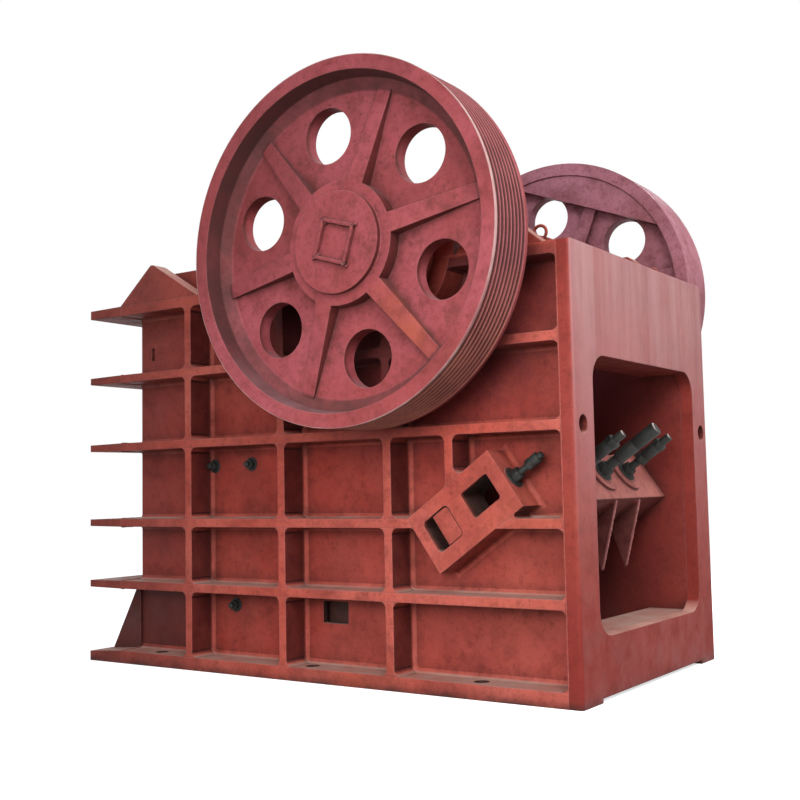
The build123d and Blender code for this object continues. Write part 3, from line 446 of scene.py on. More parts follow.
def frame_inside(s, colour, out):
    """Painted shade on the inner faces of the side walls, darker away from the rear opening."""
    inner = s.times(s.below(out, WALL_INSIDE + 0.011, soft=0.008), s.under_top())
    return s.mix(s.times(inner, s.ramp(s.x, 1.30, 0.75, 0.38, 0.9)), colour, INSIDE_SHADE)


def low_bays(s, colour, out):
    """Painted shade in the front bottom bay and on the edges of the small window low in the wall."""
    # Painted shade in the front bottom bay and in the low window's reveal
    bay = s.times(s.below(s.x, -0.72, soft=0.03), s.below(s.z, 0.40, soft=0.02))
    bay = s.times(bay, s.patches(4.0, 0.6, 0.85, detail=6))
    reveal = s.times(s.below(s.side_on(), 0.4, soft=0.2), s.below(out, WALL_FACE - 0.0005, soft=0.0015))
    reveal = s.times(reveal, s.below(s.z, 0.39, soft=0.01), 0.9)
    return s.layered(colour, (bay, CORNER_SHADE), (reveal, REVEAL_SHADE))


def shaded_sides(s, colour):
    """All painted shades of the side walls and slanted boxes, with the wheels' painted shadow behind them."""
    out = s.out()
    colour = frame_inside(s, window_walls(s, colour, out), out)
    # Painted shadow of the wheels, darker nearer the shaft
    wheel_shadow = s.times(s.below(s.from_shaft(), 0.98, soft=0.36), s.under_top(), s.patches(4.0, 0.35, 0.75))
    return front_end(s, low_bays(s, s.mix(wheel_shadow, colour, WHEEL_SHADOW), out))


def unlit_below(s, colour):
    """Painted shade and dust on the lower part of the swinging jaw, inside the machine."""
    low = s.times(s.below(s.z, 1.45, soft=0.45), s.patches(9.0, 0.8, 0.95, detail=6, rough=0.65))
    return s.mix(low, colour, CHAMBER_SHADE_AND_DUST)


def rib_sides(s, colour):
    """Painted shade on the rear sides of the upright ribs and in the bolt holes, and the wheels' painted shadow
    behind them.
    """
    out = s.out()
    # Painted shade on the rear sides of the upright ribs
    rearward = s.times(s.above(s.facing_x, 0.8, soft=0.17), s.below(out, SIDE_FACE - 0.0005, soft=0.0045))
    rearward = s.times(rearward, s.below(s.x, REAR_FACE - 0.0195, soft=0.01))
    rearward = s.times(rearward, s.patches(7.0, 0.72, 0.93, detail=6, rough=0.65))
    upright = s.below(s.math("ABSOLUTE", s.facing_z), 0.4, soft=0.2)
    # Painted shade in the bolt holes of the base
    hole = s.times(upright, s.below(s.z, BASE_TOP + 0.0002, soft=0.0007), 0.93)
    hole = s.times(hole, s.below(out, SIDE_FACE - 0.0015, soft=0.0025), s.above(out, WALL_FACE + 0.002))
    # Painted shadow of the wheels, darker nearer the shaft
    wheel_shadow = s.times(s.below(s.from_shaft(), 0.88, soft=0.22, most=0.8), s.under_top())
    colour = s.layered(colour, (rearward, RIB_SHADE), (hole, BOLT_HOLE_SHADE), (wheel_shadow, RIB_WHEEL_SHADOW))
    return front_end(s, colour)


def beam_underside(s, colour):
    """Painted shade below the beam and on the gussets under it."""
    _, across = s.along_box()
    below = s.times(s.below(across, -0.168, soft=0.01), s.patches(12.0, 0.7, 0.92, detail=6, rough=0.65))
    return s.mix(below, colour, BEAM_SHADE)


def worn_steel(name, base, light, roughness, rust=0.3, metallic=0.85, tint=(0.12, 0.045, 0.025)):
    """Bare or oiled steel with cloudy wear and rust."""
    s = Shader(name, roughness=roughness, metallic=metallic)
    speck = s.noise(160.0, 4, 0.6)
    normal, edge = s.soft_edges(0.002)
    colour = s.layered(
        s.mix(s.patches(14.0, 0.0, 1.0, detail=6, rough=0.65, low=0.35, high=0.65), base, light),
        (s.patches(30.0, 0.0, rust, detail=6, rough=0.7, low=0.52, high=0.72), tint),
        (s.times(edge, 0.4), light))
    s.link(colour, "Base Color")
    s.link(s.ramp(speck, 0.3, 0.7, roughness - 0.1, roughness + 0.15), "Roughness")
    s.link(s.bump(speck, 0.3, 0.0008, normal), "Normal")
    return s.material


primer = red_primer("red_primer", (0.38, 0.060, 0.040), (0.44, 0.095, 0.072), finish=front_end)
shade_primer = red_primer("shade_primer", (0.070, 0.018, 0.015), (0.095, 0.024, 0.020))
# Dark primer for the raised rings, as painted shade lines round the bosses
grime_primer = red_primer("grime_primer", (0.14, 0.040, 0.038), (0.22, 0.075, 0.070))
rib_primer = red_primer("rib_primer", (0.49, 0.080, 0.053), (0.57, 0.128, 0.095), finish=rib_sides)
jaw_primer = red_primer("jaw_primer", (0.38, 0.060, 0.040), (0.44, 0.095, 0.072), finish=unlit_below)
wall_primer = red_primer(
    "wall_primer", (0.35, 0.042, 0.029), (0.40, 0.075, 0.056), orange=0.25, finish=shaded_sides)
box_primer = red_primer("box_primer", (0.48, 0.078, 0.053), (0.55, 0.122, 0.092), finish=shaded_sides)
# Its pale streaks high up are partly painted sheen
rear_primer = red_primer(
    "rear_primer", (0.29, 0.032, 0.022), (0.33, 0.050, 0.038), dust=(0.62, 0.34, 0.28), streaks=0.95,
    pale=(0.51, 0.27, 0.275))
beam_primer = red_primer("beam_primer", (0.42, 0.13, 0.11), (0.48, 0.19, 0.17), finish=beam_underside)
edge_primer = red_primer("edge_primer", (0.42, 0.15, 0.14), (0.50, 0.22, 0.21))
wheel_primer = red_primer(
    "wheel_primer", (0.33, 0.060, 0.062), (0.41, 0.092, 0.110), dust=(0.3, 0.15, 0.16), orange=0.15,
    finish=wheel_marks)
fly_primer = red_primer(
    "fly_primer", (0.41, 0.155, 0.190), (0.58, 0.245, 0.315), dust=(0.38, 0.24, 0.27), orange=0.0)
dark_steel = worn_steel(
    "dark_steel", (0.006, 0.007, 0.006), (0.019, 0.021, 0.019), 0.6, rust=0.6, metallic=0.1,
    tint=(0.022, 0.040, 0.024))
bare_steel = worn_steel("bare_steel", (0.3, 0.3, 0.3), (0.5, 0.5, 0.5), 0.35, rust=0.15)
cut_steel = worn_steel("cut_steel", (0.40, 0.31, 0.29), (0.55, 0.45, 0.43), 0.5, rust=0.1, metallic=0.1)
cast_manganese = worn_steel("cast_manganese", (0.11, 0.105, 0.1), (0.2, 0.19, 0.18), 0.55, rust=0.4)

# Finishes of the CAD nodes: by node, or else by material slot, or else plain primer
node_finishes = {
    "drive_pulley": wheel_primer, "end_cap_near": wheel_primer, "cap_frame": wheel_primer,
    "flywheel": fly_primer, "end_cap_far": fly_primer, "front_gussets": shade_primer,
    "swing_jaw": jaw_primer, "toggle_beam": beam_primer, "adjusting_blocks": box_primer,
    "rear_wall": rear_primer}
for side in ("near", "far"):
    node_finishes["toggle_box_" + side] = box_primer
    node_finishes["side_ribs_" + side] = rib_primer
    node_finishes["upright_ribs_" + side] = rib_primer
    node_finishes["side_wall_" + side] = wall_primer
slot_finishes = {"dark_steel": dark_steel, "bare_steel": bare_steel, "cast_manganese": cast_manganese}
for part in frame["record"]["subparts"]:
    finish = node_finishes.get(part["node"], slot_finishes.get(part["material_slot"], primer))
    for slot in nodes[part["node"]].material_slots:
        slot.material = finish


def on_box(s, t):
    """A point of the side plane, s along the slanted box and t across it."""
    c, n = math.cos(BOX_TILT), math.sin(BOX_TILT)
    return (BOX_CENTRE[0] + s * c - t * n, BOX_CENTRE[1] + s * n + t * c)


def box_edge_at(level, upper):
    """X where the upper or lower long side of the slanted box crosses a level."""
    side = BOX_HALF[1] if upper else -BOX_HALF[1]
    x, z = on_box(0, side)
    return x + (level - z) / math.tan(BOX_TILT)


def saddle_arc(start, end, steps=8):
    """Points on the bearing saddle's underside, from one X to another."""
    points = []
    for i in range(steps + 1):
        x = start + (end - start) * i / steps
        points.append((x, SHAFT[1] - math.sqrt(SADDLE_RADIUS**2 - (x - SHAFT[0])**2)))
    return points


def bays_round_box():
    """Outlines of the three bays that the slanted box cuts into."""
    half_long, half_wide = BOX_HALF
    left, right = BAY_COLUMNS[2]
    low, high = BAY_ROWS[1]
    corner, upper_corner = on_box(-half_long, -half_wide), on_box(-half_long, half_wide)
    share = (high - corner[1]) / (upper_corner[1] - corner[1])
    meets = corner[0] + (upper_corner[0] - corner[0]) * share
    below = [
        (left, low), (right, low), (right, high), (box_edge_at(high, False), high), corner, (meets, high),
        (left, high)]
    low, high = BAY_ROWS[2]
    edge_x = box_edge_at(low, True)
    before_d, past_d = (low + (x - edge_x) * math.tan(BOX_TILT) for x in (RIB_D, BEHIND_D))
    before = [(left, low), (edge_x, low), (RIB_D, before_d), (RIB_D, high), (left, high)]
    past = [
        (BEHIND_D, past_d), on_box(half_long, half_wide), on_box(half_long, -half_wide),
        (box_edge_at(low, False), low), (right, low), (right, high), (BEHIND_D, high)]
    return [below, before, past]


def bays_under_saddle():
    """Outlines of the two top bays that the bearing saddle cuts into."""
    low, high = BAY_ROWS[4]
    reach = math.sqrt(SADDLE_RADIUS**2 - (SHAFT[1] - high)**2)
    left, right = BAY_COLUMNS[1]
    before = [(left, low), (right, low)] + saddle_arc(right, SHAFT[0] - reach) + [(left, high)]
    left, right = BAY_COLUMNS[2]
    past = [(left, low), (right, low), (right, high)] + saddle_arc(SHAFT[0] + reach, left)
    return [before, past]


def bay_outlines():
    """Outlines of the recesses of a side wall in X and Z, anticlockwise, and whether each is closed."""
    outlines = []
    for row, (low, high) in enumerate(BAY_ROWS):
        outlines.append(([(FRONT_FACE, low), (RIB_A, low), (RIB_A, high), (FRONT_FACE, high)], False))
        for column, (left, right) in enumerate(BAY_COLUMNS):
            beside_box = column == 2 and row in (1, 2)
            under_saddle = column > 0 and row == 4
            if not beside_box and not under_saddle:
                outlines.append(([(left, low), (right, low), (right, high), (left, high)], True))
    return outlines + [(outline, True) for outline in bays_round_box() + bays_under_saddle()]


def rounded(outline, radius, inset=0.0, closed=True):
    """The outline moved inwards with its inner corners rounded, and each point's corner or None."""
    points, owners = [], []
    for i, here in enumerate(outline):
        here = Vector(here)
        before, after = Vector(outline[i - 1]), Vector(outline[(i + 1) % len(outline)])
        if not closed and i in (0, len(outline) - 1):
            along = (after - here if i == 0 else here - before).normalized()
            points.append(here + Vector((-along.y, along.x)) * inset)
            owners.append(None)
            continue
        a, b = (before - here).normalized(), (after - here).normalized()
        turn = a.y * b.x - a.x * b.y
        half = math.acos(max(-1, min(1, a.dot(b)))) / 2
        if abs(turn) < 1e-6:
            points.append(here + Vector((-b.y, b.x)) * inset)
            owners.append(None)
            continue
        inward = (a + b).normalized() * (1 if turn > 0 else -1)
        if turn < 0.15:
            points.append(here + inward * (inset / math.sin(half)))
            owners.append(None)
            continue
        room = 0.45 * min((before - here).length, (after - here).length)
        size = min(radius, room * math.tan(half))
        centre = here + inward * (size / math.sin(half))
        first, last = (here + arm * (size / math.tan(half)) - centre for arm in (a, b))
        start = math.atan2(first.y, first.x)
        sweep = (math.atan2(last.y, last.x) - start + math.pi) % (2 * math.pi) - math.pi
        for k in range(CORNER_STEPS + 1):
            at = start + sweep * k / CORNER_STEPS
            points.append(centre + Vector((math.cos(at), math.sin(at))) * max(size - inset, 0.0004))
            owners.append(i)
    return points, owners


class Shape:
    """Points and faces collected for one mesh."""

    def __init__(self):
        self.points, self.faces = [], []

    def add(self, points, faces):
        start = len(self.points)
        self.points += [tuple(p) for p in points]
        self.faces += [tuple(start + i for i in face) for face in faces]

    def rings(self, rings, closed=True, cap_start=False, cap_end=False):
        """A skin through rings of equally many points."""
        n = len(rings[0])
        points = [p for ring in rings for p in ring]
        faces = []
        for r in range(len(rings) - 1):
            for i in range(n if closed else n - 1):
                j = (i + 1) % n
                faces.append((r * n + i, r * n + j, (r + 1) * n + j, (r + 1) * n + i))
        if cap_start:
            faces.append(tuple(range(n))[::-1])
        if cap_end:
            faces.append(tuple((len(rings) - 1) * n + i for i in range(n)))
        self.add(points, faces)

    def mirrored(self):
        other = Shape()
        other.add([(x, -y, z) for x, y, z in self.points], [face[::-1] for face in self.faces])
        return other

    def mesh(self, name):
        mesh = bpy.data.meshes.new(name)
        mesh.from_pydata(self.points, [], self.faces)
        mesh.validate()
        return mesh


def add_piece(name, shape, material, body="frame"):
    mesh = shape.mesh(name)
    mesh.materials.append(material)
    mesh.shade_smooth()
    mesh.set_sharp_from_angle(angle=math.radians(35))
    thing = bpy.data.objects.new(name, mesh)
    bpy.context.scene.collection.objects.link(thing)
    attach(thing, body)
    return thing


def fillet_steps(steps=FILLET_STEPS):
    """How far in and how far up each step of a unit fillet lies."""
    angles = [math.pi / 2 * k / steps for k in range(steps + 1)]
    return [(1 - math.cos(at), 1 - math.sin(at)) for at in angles]


def side_fillets():
    """Rounded bay corners over the whole rib depth, and the fillet at the root of the ribs."""
    shape = Shape()
    for outline, closed in bay_outlines():
        edge, owners = rounded(outline, BAY_RADIUS, closed=closed)
        for corner in sorted({o for o in owners if o is not None}):
            section = [Vector(outline[corner])] + [p for p, o in zip(edge, owners) if o == corner]
            rings = [[(p.x, -depth, p.y) for p in section] for depth in (WALL_FACE, SIDE_FACE)]
            shape.rings(rings, cap_end=True)
        rings = []
        for inwards, upwards in fillet_steps():
            ring, _ = rounded(outline, BAY_RADIUS, ROOT_FILLET * inwards, closed)
            rings.append([(p.x, -WALL_FACE - ROOT_FILLET * upwards, p.y) for p in ring])
        shape.rings(rings, closed=closed)
    return shape


def front_fillets():
    """Fillets between the front wall and the ribs that run past it."""
    shape = Shape()
    for row in BAY_ROWS:
        for level, side in zip(row, (1, -1)):
            rings = []
            for forwards, upwards in fillet_steps():
                x, z = FRONT_FACE - ROOT_FILLET * forwards, level + side * ROOT_FILLET * upwards
                rings.append([(x, -WALL_FACE, z), (x, WALL_FACE, z)])
            shape.rings(rings if side < 0 else rings[::-1], closed=False)
    return shape


def frame_of(axis):
    """The axis at unit length, and two directions square to it and to each other."""
    axis = Vector(axis).normalized()
    side = Vector((0, 1, 0)) if abs(axis.y) < 0.9 else Vector((0, 0, 1))
    first = (side - axis * side.dot(axis)).normalized()
    return axis, first, axis.cross(first)


def circle(steps):
    """Angles of evenly spaced points round a circle."""
    return [2 * math.pi * i / steps for i in range(steps)]


def turned(shape, origin, axis, profile, corners=0, steps=36):
    """A turned body. The profile gives distance along the axis and radius. With corners it is a
    prism of that many sides, and the radius is that of its corners, cut by the profile as a cone."""
    axis, first, second = frame_of(axis)
    widest = max(radius for _, radius in profile)
    rings = []
    for along, radius in profile:
        ring = []
        for angle in circle(steps):
            reach = radius
            if corners:
                half = math.pi / corners
                flat = widest * math.cos(half) / math.cos((angle % (2 * half)) - half)
                reach = min(flat, radius)
            sideways = (first * math.cos(angle) + second * math.sin(angle)) * reach
            ring.append(Vector(origin) + axis * along + sideways)
        rings.append(ring)
    shape.rings(rings, cap_start=True, cap_end=True)


def washer(shape, origin, axis, radius, thick, sunk=0.0):
    """Round washer with a chamfered rim, its underside sunk below the origin."""
    top = (thick + WASHER_CHAMFER, radius - WASHER_CHAMFER)
    turned(shape, origin, axis, [(-sunk, radius), (thick, radius), top])


def nut(shape, origin, axis, radius, high):
    """Hexagonal nut with chamfered corners."""
    profile = [(0, radius * 0.93), (high * 0.12, radius), (high * 0.88, radius), (high, radius * 0.9)]
    turned(shape, origin, axis, profile, corners=6)


def thread(shape, origin, axis, radius, start, end, pitch=0.006):
    """Threaded rod drawn as close rings with a chamfered end."""
    profile = [(start, radius * 0.9)]
    turns = max(2, int((end - start) / pitch))
    for i in range(turns):
        at = start + (end - start) * i / turns
        profile += [(at + pitch * 0.2, radius * 0.93), (at + pitch * 0.6, radius)]
    profile += [(end - 0.002, radius * 0.93), (end, radius * 0.8)]
    turned(shape, origin, axis, profile, steps=28)


def ring_bar(shape, origin, axis, radius, thick, steps=40, sides=12):
    """A round bar bent to a closed ring."""
    axis, first, second = frame_of(axis)
    rings = []
    for i in range(steps + 1):
        a = 2 * math.pi * i / steps
        out = first * math.cos(a) + second * math.sin(a)
        rings.append([
            Vector(origin) + out * (radius + thick * math.cos(b)) + axis * (thick * math.sin(b))
            for b in circle(sides)])
    shape.rings(rings)


def weld(shape, path, size, seed, wobble=0.25, step=0.006):
    """An uneven weld bead along straight runs, half sunk in its corner."""
    points = []
    for a, b in zip(path, path[1:]):
        a, b = Vector(a), Vector(b)
        count = max(2, int((b - a).length / step))
        points += [a + (b - a) * i / count for i in range(count)]
    points.append(Vector(path[-1]))
    last = len(points) - 1
    rings = []
    for i, here in enumerate(points):
        _, first, second = frame_of(points[min(i + 1, last)] - points[max(i - 1, 0)])
        swell = 1 + wobble * (0.6 * math.sin(i * 1.9 + seed) + 0.4 * math.sin(i * 0.73 + 2 * seed))
        if i in (0, last):
            swell *= 0.3
        rings.append([
            here + (first * math.cos(a) + second * math.sin(a)) * size * swell for a in circle(8)])
    shape.rings(rings, cap_start=True, cap_end=True)


SLOPE = Vector((math.cos(BOX_TILT), 0, math.sin(BOX_TILT)))


def slope_point(s, t, y):
    """A point at that Y, s along the slanted box and t across it."""
    x, z = on_box(s, t)
    return Vector((x, y, z))


def crescent(shape, origin, axis, radius, shift, steps=18):
    """The bright part of a worn rod end, towards its higher, near side."""
    axis, first, _ = frame_of(axis)
    high = (Vector((0, 0, 1)) - axis * axis.z).normalized() * 0.5 - first * 0.85
    high = (high - axis * high.dot(axis)).normalized()
    side = axis.cross(high)
    outer = [(math.cos(a), math.sin(a)) for a in (math.pi * (i / steps - 0.5) for i in range(steps + 1))]
    reach = 1 - shift / radius
    outline = outer + [(c * reach * 0.9, n) for c, n in outer[-2:0:-1]]
    rings = []
    for level in (-0.0004, 0.0004):
        foot = Vector(origin) + axis * level
        rings.append([foot + (high * c + side * n) * radius for c, n in outline])
    shape.rings(rings, cap_start=True, cap_end=True)


def stud_foot(shape, base, hexagon, washer_thick=0.004):
    """Washer and nut where a stud comes out of the toggle beam."""
    washer(shape, base, SLOPE, radius=0.053, thick=washer_thick)
    nut(shape, base + SLOPE * (washer_thick + WASHER_CHAMFER), SLOPE, hexagon, high=0.0315)


def middle_stud(dark, ends, base):
    """The middle stud, with a long sleeve to its end."""
    sleeve = [
        (0.100, 0.028), (0.104, 0.031), (0.200, 0.031), (0.203, 0.0295), (0.206, 0.031), (0.322, 0.031),
        (0.3255, 0.0285)]
    end = 0.3256
    stud_foot(dark, base, hexagon=0.039)
    thread(dark, base, SLOPE, radius=0.024, start=0.03, end=0.104)
    turned(dark, base, SLOPE, sleeve)
    crescent(ends, base + SLOPE * end, SLOPE, radius=0.0275, shift=0.0115)


def outer_stud(dark, ends, base):
    """A stud with a short sleeve between two nuts, and its threaded end beyond them."""
    rod, hexagon, end = 0.019, 0.034, 0.2734
    lower_nut, upper_nut = 0.088, 0.196
    sleeve = [(0.118, 0.0275), (0.121, 0.029), (upper_nut, 0.029), (upper_nut + 0.002, 0.028)]
    stud_foot(dark, base, hexagon)
    thread(dark, base, SLOPE, rod, start=0.03, end=0.092)
    nut(dark, base + SLOPE * lower_nut, SLOPE, hexagon, high=0.030)
    turned(dark, base, SLOPE, sleeve)
    nut(dark, base + SLOPE * upper_nut, SLOPE, hexagon, high=0.028)
    thread(dark, base, SLOPE, rod, start=0.220, end=end)
    crescent(ends, base + SLOPE * end, SLOPE, radius=0.0150, shift=0.0110)


def tension_studs():
    """The three studs on the toggle beam, and the bright parts of their sawn ends."""
    dark, ends = Shape(), Shape()
    for y in STUD_ROWS:
        draw = outer_stud if y else middle_stud
        draw(dark, ends, slope_point(*STUD_FOOT, y))
    return dark, ends


def side_studs():
    """Washer, nut, threaded rod and lock nut at the upper end of each slanted box."""
    shape = Shape()
    lower_nut, upper_nut = 0.006, 0.082
    sleeve = [(0.106, 0.0235), (0.108, 0.0245), (0.142, 0.0245), (0.144, 0.023)]
    for y in SIDE_STUD_ROWS:
        base = slope_point(BOX_HALF[0], 0, y)
        washer(shape, base, SLOPE, radius=0.046, thick=0.005)
        nut(shape, base + SLOPE * lower_nut, SLOPE, radius=0.030, high=0.034)
        thread(shape, base, SLOPE, radius=0.015, start=0.038, end=0.164)
        nut(shape, base + SLOPE * upper_nut, SLOPE, radius=0.026, high=0.024)
        turned(shape, base, SLOPE, sleeve)
    return shape


def ring_marks():
    """Thin raised rings round the washers and the studs' bosses."""
    shape = Shape()
    boss_high = 0.012
    for y in STUD_ROWS:
        base = slope_point(*STUD_FOOT, y)
        ring_bar(shape, base, SLOPE, radius=0.062, thick=0.0022, steps=48, sides=8)
        ring_bar(shape, base - SLOPE * boss_high, SLOPE, radius=0.1005, thick=0.0035, steps=64, sides=8)
    for y in SIDE_STUD_ROWS:
        ring_bar(shape, slope_point(BOX_HALF[0], 0, y), SLOPE, radius=0.052, thick=0.002, sides=8)
    return shape


def cheek_bolts():
    """Nuts of the cheek plates' bolts on the outside of both side walls."""
    shape = Shape()
    washer_thick = 0.004
    for x, z in CHEEK_BOLTS:
        for side in (-1, 1):
            base, out = Vector((x, side * WALL_FACE, z)), Vector((0, side, 0))
            washer(shape, base, out, radius=0.034, thick=washer_thick, sunk=0.002)
            nut(shape, base + out * (washer_thick + WASHER_CHAMFER), out, radius=0.025, high=0.021)
            thread(shape, base, out, radius=0.0135, start=0.024, end=0.048)
    return shape


def cap_bolts():
    """Bolts on the feet of the two bearing caps."""
    shape = Shape()
    up = Vector((0, 0, 1))
    washer_thick, washer_radius, sunk = 0.003, 0.0155, 0.001
    for side in (-1, 1):
        for x in (SHAFT[0] - CAP_BOLT_SPACING, SHAFT[0] + CAP_BOLT_SPACING):
            for y in CAP_BOLT_ROWS:
                base = Vector((x, side * y, FRAME_TOP + CAP_FOOT_HIGH))
                turned(shape, base, up, [(-sunk, washer_radius), (washer_thick, washer_radius)])
                nut(shape, base + up * washer_thick, up, radius=0.0145, high=0.013)
                thread(shape, base, up, radius=0.008, start=0.015, end=0.030, pitch=0.004)
    return shape


def lifting_eyes():
    """Forged ring, neck and collar of the two lifting eyes."""
    shape = Shape()
    x = middle("lifting_eyes", "x")
    stem = [
        (0, 0.0108), (0.003, 0.0108), (0.010, 0.0085), (0.028, 0.0072), (0.040, 0.0075), (0.046, 0.0066)]
    for y in EYE_ROWS:
        ring_bar(shape, (x, y, FRAME_TOP + EYE_RISE), (0, 1, 0), radius=0.029, thick=0.0068)
        turned(shape, (x, y, FRAME_TOP), (0, 0, 1), stem, steps=24)
    return shape


def square_bar(shape, centre, along, across, out, high, seed):
    """A bar with rounded long edges and slightly uneven sides."""
    length, width, steps = 0.176, 0.017, 12
    half = [(0.5, 0), (0.5, 0.72), (0.36, 0.94), (0.15, 1.0)]
    section = [(-a, b) for a, b in half] + half[::-1]
    rings = []
    for i in range(steps + 1):
        at = length * (i / steps - 0.5)
        end = 0.9 if i in (0, steps) else 1.0
        sway = 0.0008 * math.sin(i * 1.3 + seed)
        rings.append([
            centre + along * at + across * (a * width * end + sway) + out * (b * high * end)
            for a, b in section])
    shape.rings(rings, cap_start=True, cap_end=True)


def cap_frame():
    """Four bars crossing to a square on the near cap, tacked together with weld at the corners."""
    shape = Shape()
    centre = Vector((SHAFT[0], -CAP_FACE, SHAFT[1]))
    turn = math.radians(-17.5)
    along = Vector((math.cos(turn), 0, math.sin(turn)))
    across = Vector((-math.sin(turn), 0, math.cos(turn)))
    out = Vector((0, -1, 0))
    reach = 0.079
    for k, side in enumerate((-1, 1)):
        square_bar(shape, centre + across * side * reach, along, across, out, high=0.020, seed=k)
        square_bar(shape, centre + along * side * reach, across, along, out, high=0.0205, seed=k + 2)
    tack = [(0, 0.0085), (0.004, 0.008), (0.008, 0.006), (0.011, 0.0025)]
    for a in (-1, 1):
        for b in (-1, 1):
            corner = centre + along * a * reach + across * b * reach
            for shift, drift in ((-0.011, -0.011), (0.010, 0.009)):
                spot = corner + along * (shift * a) + across * (drift * b)
                turned(shape, spot, out, tack, steps=14)
    return shape


def cap_fillet(side, radius=0.216, size=0.006):
    """Cast fillet round the foot of an end cap, on the hub of its wheel."""
    shape = Shape()
    rings = []
    for outwards, sideways in fillet_steps(5):
        reach = radius + size * sideways
        y = side * (HUB_FACE + size * outwards)
        rings.append([
            (SHAFT[0] + reach * math.cos(a), y, SHAFT[1] + reach * math.sin(a)) for a in circle(120)])
    shape.rings(rings)
    return shape


def block_faces():
    """Pads on the fronts of the blocks in the lower windows, nearly flush with the box."""
    shape = Shape()
    centre = (-0.096, 0.003)
    outline = [
        (-0.139, -0.069), (-0.071, -0.069), (-0.0585, -0.0645), (-0.053, -0.052), (-0.053, 0.058),
        (-0.0585, 0.0705), (-0.071, 0.075), (-0.139, 0.075)]
    for side in (-1, 1):
        rings = []
        for depth, inset in ((0.717, 0), (0.7415, 0), (0.7435, 0.0012), (0.7445, 0.0035)):
            ring = []
            for s, t in outline:
                s += inset if s < centre[0] else -inset
                t += inset if t < centre[1] else -inset
                ring.append(slope_point(s, t, side * depth))
            rings.append(ring if side < 0 else ring[::-1])
        shape.rings(rings, cap_end=True)
    return shape


def frame_welds():
    """Weld beads of the front ribs, the lugs, the rear wall and the gussets under the beam."""
    shape = Shape()
    rib_size, lug_size, rear_size, gusset_size = 0.0045, 0.006, 0.0035, 0.005
    even, uneven = 0.25, 0.35
    beads = []
    for row in BAY_ROWS:
        for side in (-1, 1):
            for z in row:
                x, start, end = FRONT_FACE - 0.001, side * (WALL_FACE + 0.003), side * (SIDE_FACE - 0.004)
                beads.append(((x, start, z), (x, end, z), rib_size, even))
    front_lug = (lowest("front_lug_far", "x") + 0.010, highest("front_lug_far", "x") - 0.010)
    rear_lug = (lowest("rear_lug_far", "x") + 0.0225, highest("rear_lug_far", "x") - 0.0095)
    for side in (-1, 1):
        y = side * lowest("front_lug_far", "y")
        for start, end in (front_lug, rear_lug):
            beads.append(((start, y, FRAME_TOP), (end, y, FRAME_TOP), lug_size, even))
        x, y = REAR_FACE + 0.0005, side * SIDE_FACE * 0.9995
        beads.append(((x, y, 0.08), (x, y, FRAME_TOP - 0.01), rear_size, uneven))
    half_gusset, beam_low = 0.014, -0.1755
    for y in STUD_ROWS:
        for edge in (y - half_gusset, y + half_gusset):
            start, end = slope_point(0.305, beam_low, edge), slope_point(0.13, beam_low, edge)
            beads.append((start, end, gusset_size, even))
    for seed, (start, end, size, wobble) in enumerate(beads, 1):
        weld(shape, [start, end], size, seed, wobble)
    return shape


def gusset_edges():
    """Rough flame-cut lips on the three gussets under the toggle beam."""
    shape = Shape()
    beam_low, toe_back, toe_drop = -0.176, 0.276, 0.279
    for k, y in enumerate(STUD_ROWS):
        top, rest = slope_point(0.310, beam_low, y), slope_point(0.12, beam_low, y)
        low = Vector((BOX_CENTRE[0] + toe_back, y, BOX_CENTRE[1] - toe_drop))
        weld(shape, [top, low], size=0.0062, seed=k, wobble=0.3, step=0.008)
        weld(shape, [low, rest], size=0.005, seed=k + 5, wobble=0.3, step=0.008)
    return shape


near_fillets = side_fillets()
add_piece("side_fillets_near", near_fillets, rib_primer)
add_piece("side_fillets_far", near_fillets.mirrored(), rib_primer)
add_piece("front_fillets", front_fillets(), primer)
studs, stud_ends = tension_studs()
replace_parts(add_piece("stud_set", studs, dark_steel), "tension_studs")
add_piece("stud_ends", stud_ends, cut_steel)
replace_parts(add_piece("side_stud_set", side_studs(), dark_steel), "side_studs")
# The rings are painted dark, as shade lines round the bosses
add_piece("ring_marks", ring_marks(), grime_primer)
add_piece("cheek_bolts", cheek_bolts(), dark_steel)
add_piece("cap_bolts", cap_bolts(), dark_steel)
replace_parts(add_piece("lifting_rings", lifting_eyes(), primer), "lifting_eyes")
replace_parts(add_piece("cap_square", cap_frame(), wheel_primer, body="rotor"), "cap_frame")
add_piece("block_faces", block_faces(), box_primer)
add_piece("cap_fillet_near", cap_fillet(-1), wheel_primer, body="rotor")
add_piece("cap_fillet_far", cap_fillet(1), fly_primer, body="rotor")
add_piece("frame_welds", frame_welds(), primer)
add_piece("gusset_edges", gusset_edges(), edge_primer)


def light_only_for_camera(tree, seen, unseen):
    """Joins a shader for the camera, reflections and clear glass with one for all other rays."""
    path = tree.nodes.new("ShaderNodeLightPath")
    share = path.outputs["Is Camera Ray"]
    for other in ("Is Glossy Ray", "Is Transmission Ray"):
        both = tree.nodes.new("ShaderNodeMath")
        both.operation = "MAXIMUM"
        tree.links.new(share, both.inputs[0])
        tree.links.new(path.outputs[other], both.inputs[1])
        share = both.outputs[0]
    mix = tree.nodes.new("ShaderNodeMixShader")
    tree.links.new(share, mix.inputs[0])
    tree.links.new(unseen, mix.inputs[1])
    tree.links.new(seen, mix.inputs[2])
    return mix.outputs[0]


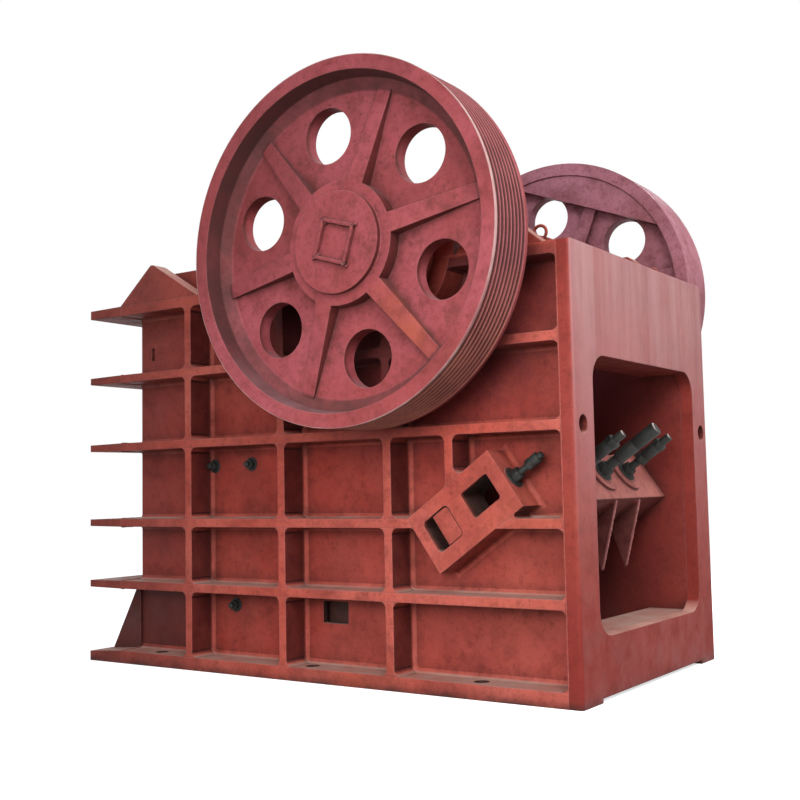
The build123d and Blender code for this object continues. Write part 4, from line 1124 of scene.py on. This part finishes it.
def white_world(strength):
    world = bpy.data.worlds.new("white")
    world.use_nodes = True
    tree = world.node_tree
    tree.nodes.clear()
    seen = tree.nodes.new("ShaderNodeBackground")
    seen.inputs["Color"].default_value = (1, 1, 1, 1)
    light = tree.nodes.new("ShaderNodeBackground")
    light.inputs["Color"].default_value = (0.93, 0.96, 1, 1)
    light.inputs["Strength"].default_value = strength
    out = tree.nodes.new("ShaderNodeOutputWorld")
    tree.links.new(light_only_for_camera(tree, seen.outputs[0], light.outputs[0]), out.inputs[0])
    bpy.context.scene.world = world


def pale_floor(reach=40):
    mesh = bpy.data.meshes.new("floor")
    corners = [(-reach, -reach, 0), (reach, -reach, 0), (reach, reach, 0), (-reach, reach, 0)]
    mesh.from_pydata(corners, [], [(0, 1, 2, 3)])
    floor = bpy.data.objects.new("floor", mesh)
    bpy.context.scene.collection.objects.link(floor)
    material = bpy.data.materials.new("pale_floor")
    material.use_nodes = True
    tree = material.node_tree
    tree.nodes.clear()
    pale = tree.nodes.new("ShaderNodeBsdfDiffuse")
    pale.inputs["Color"].default_value = (0.86, 0.86, 0.86, 1)
    glow = tree.nodes.new("ShaderNodeEmission")
    glow.inputs["Strength"].default_value = 0.66
    both = tree.nodes.new("ShaderNodeAddShader")
    tree.links.new(pale.outputs[0], both.inputs[0])
    tree.links.new(glow.outputs[0], both.inputs[1])
    ground = tree.nodes.new("ShaderNodeBsdfDiffuse")
    ground.inputs["Color"].default_value = (0.16, 0.14, 0.13, 1)
    out = tree.nodes.new("ShaderNodeOutputMaterial")
    tree.links.new(light_only_for_camera(tree, both.outputs[0], ground.outputs[0]), out.inputs[0])
    mesh.materials.append(material)


def soft_lamp(name, place, aim, size, power, colour=(1, 1, 1), spread=180):
    data = bpy.data.lights.new(name, "AREA")
    data.shape = "DISK"
    data.size = size
    data.spread = math.radians(spread)
    data.energy = power
    data.color = colour
    lamp = bpy.data.objects.new(name, data)
    lamp.location = place
    lamp.rotation_mode = "QUATERNION"
    lamp.rotation_quaternion = (Vector(aim) - Vector(place)).to_track_quat("-Z", "Y")
    bpy.context.scene.collection.objects.link(lamp)


white_world(strength=0.44)
pale_floor()
soft_lamp("sky_right", (7.0, 1.0, 6.0), (0.6, 0, 1.0), size=5.0, power=340, colour=(1, 0.97, 0.96))
soft_lamp("sky_near", (4.2, -4.2, 4.4), (0.7, -0.4, 0.9), size=2.6, power=44, spread=95)
soft_lamp("low_near", (2.0, -4.9, 1.7), (0.65, -0.7, 0.85), size=2.4, power=31, spread=80)
soft_lamp("sky_far", (-1.0, 6.5, 3.6), (0.2, 0.7, 0.9), size=3.2, power=70, spread=100)
bpy.context.scene.view_settings.view_transform = "Standard"
photo_camera()
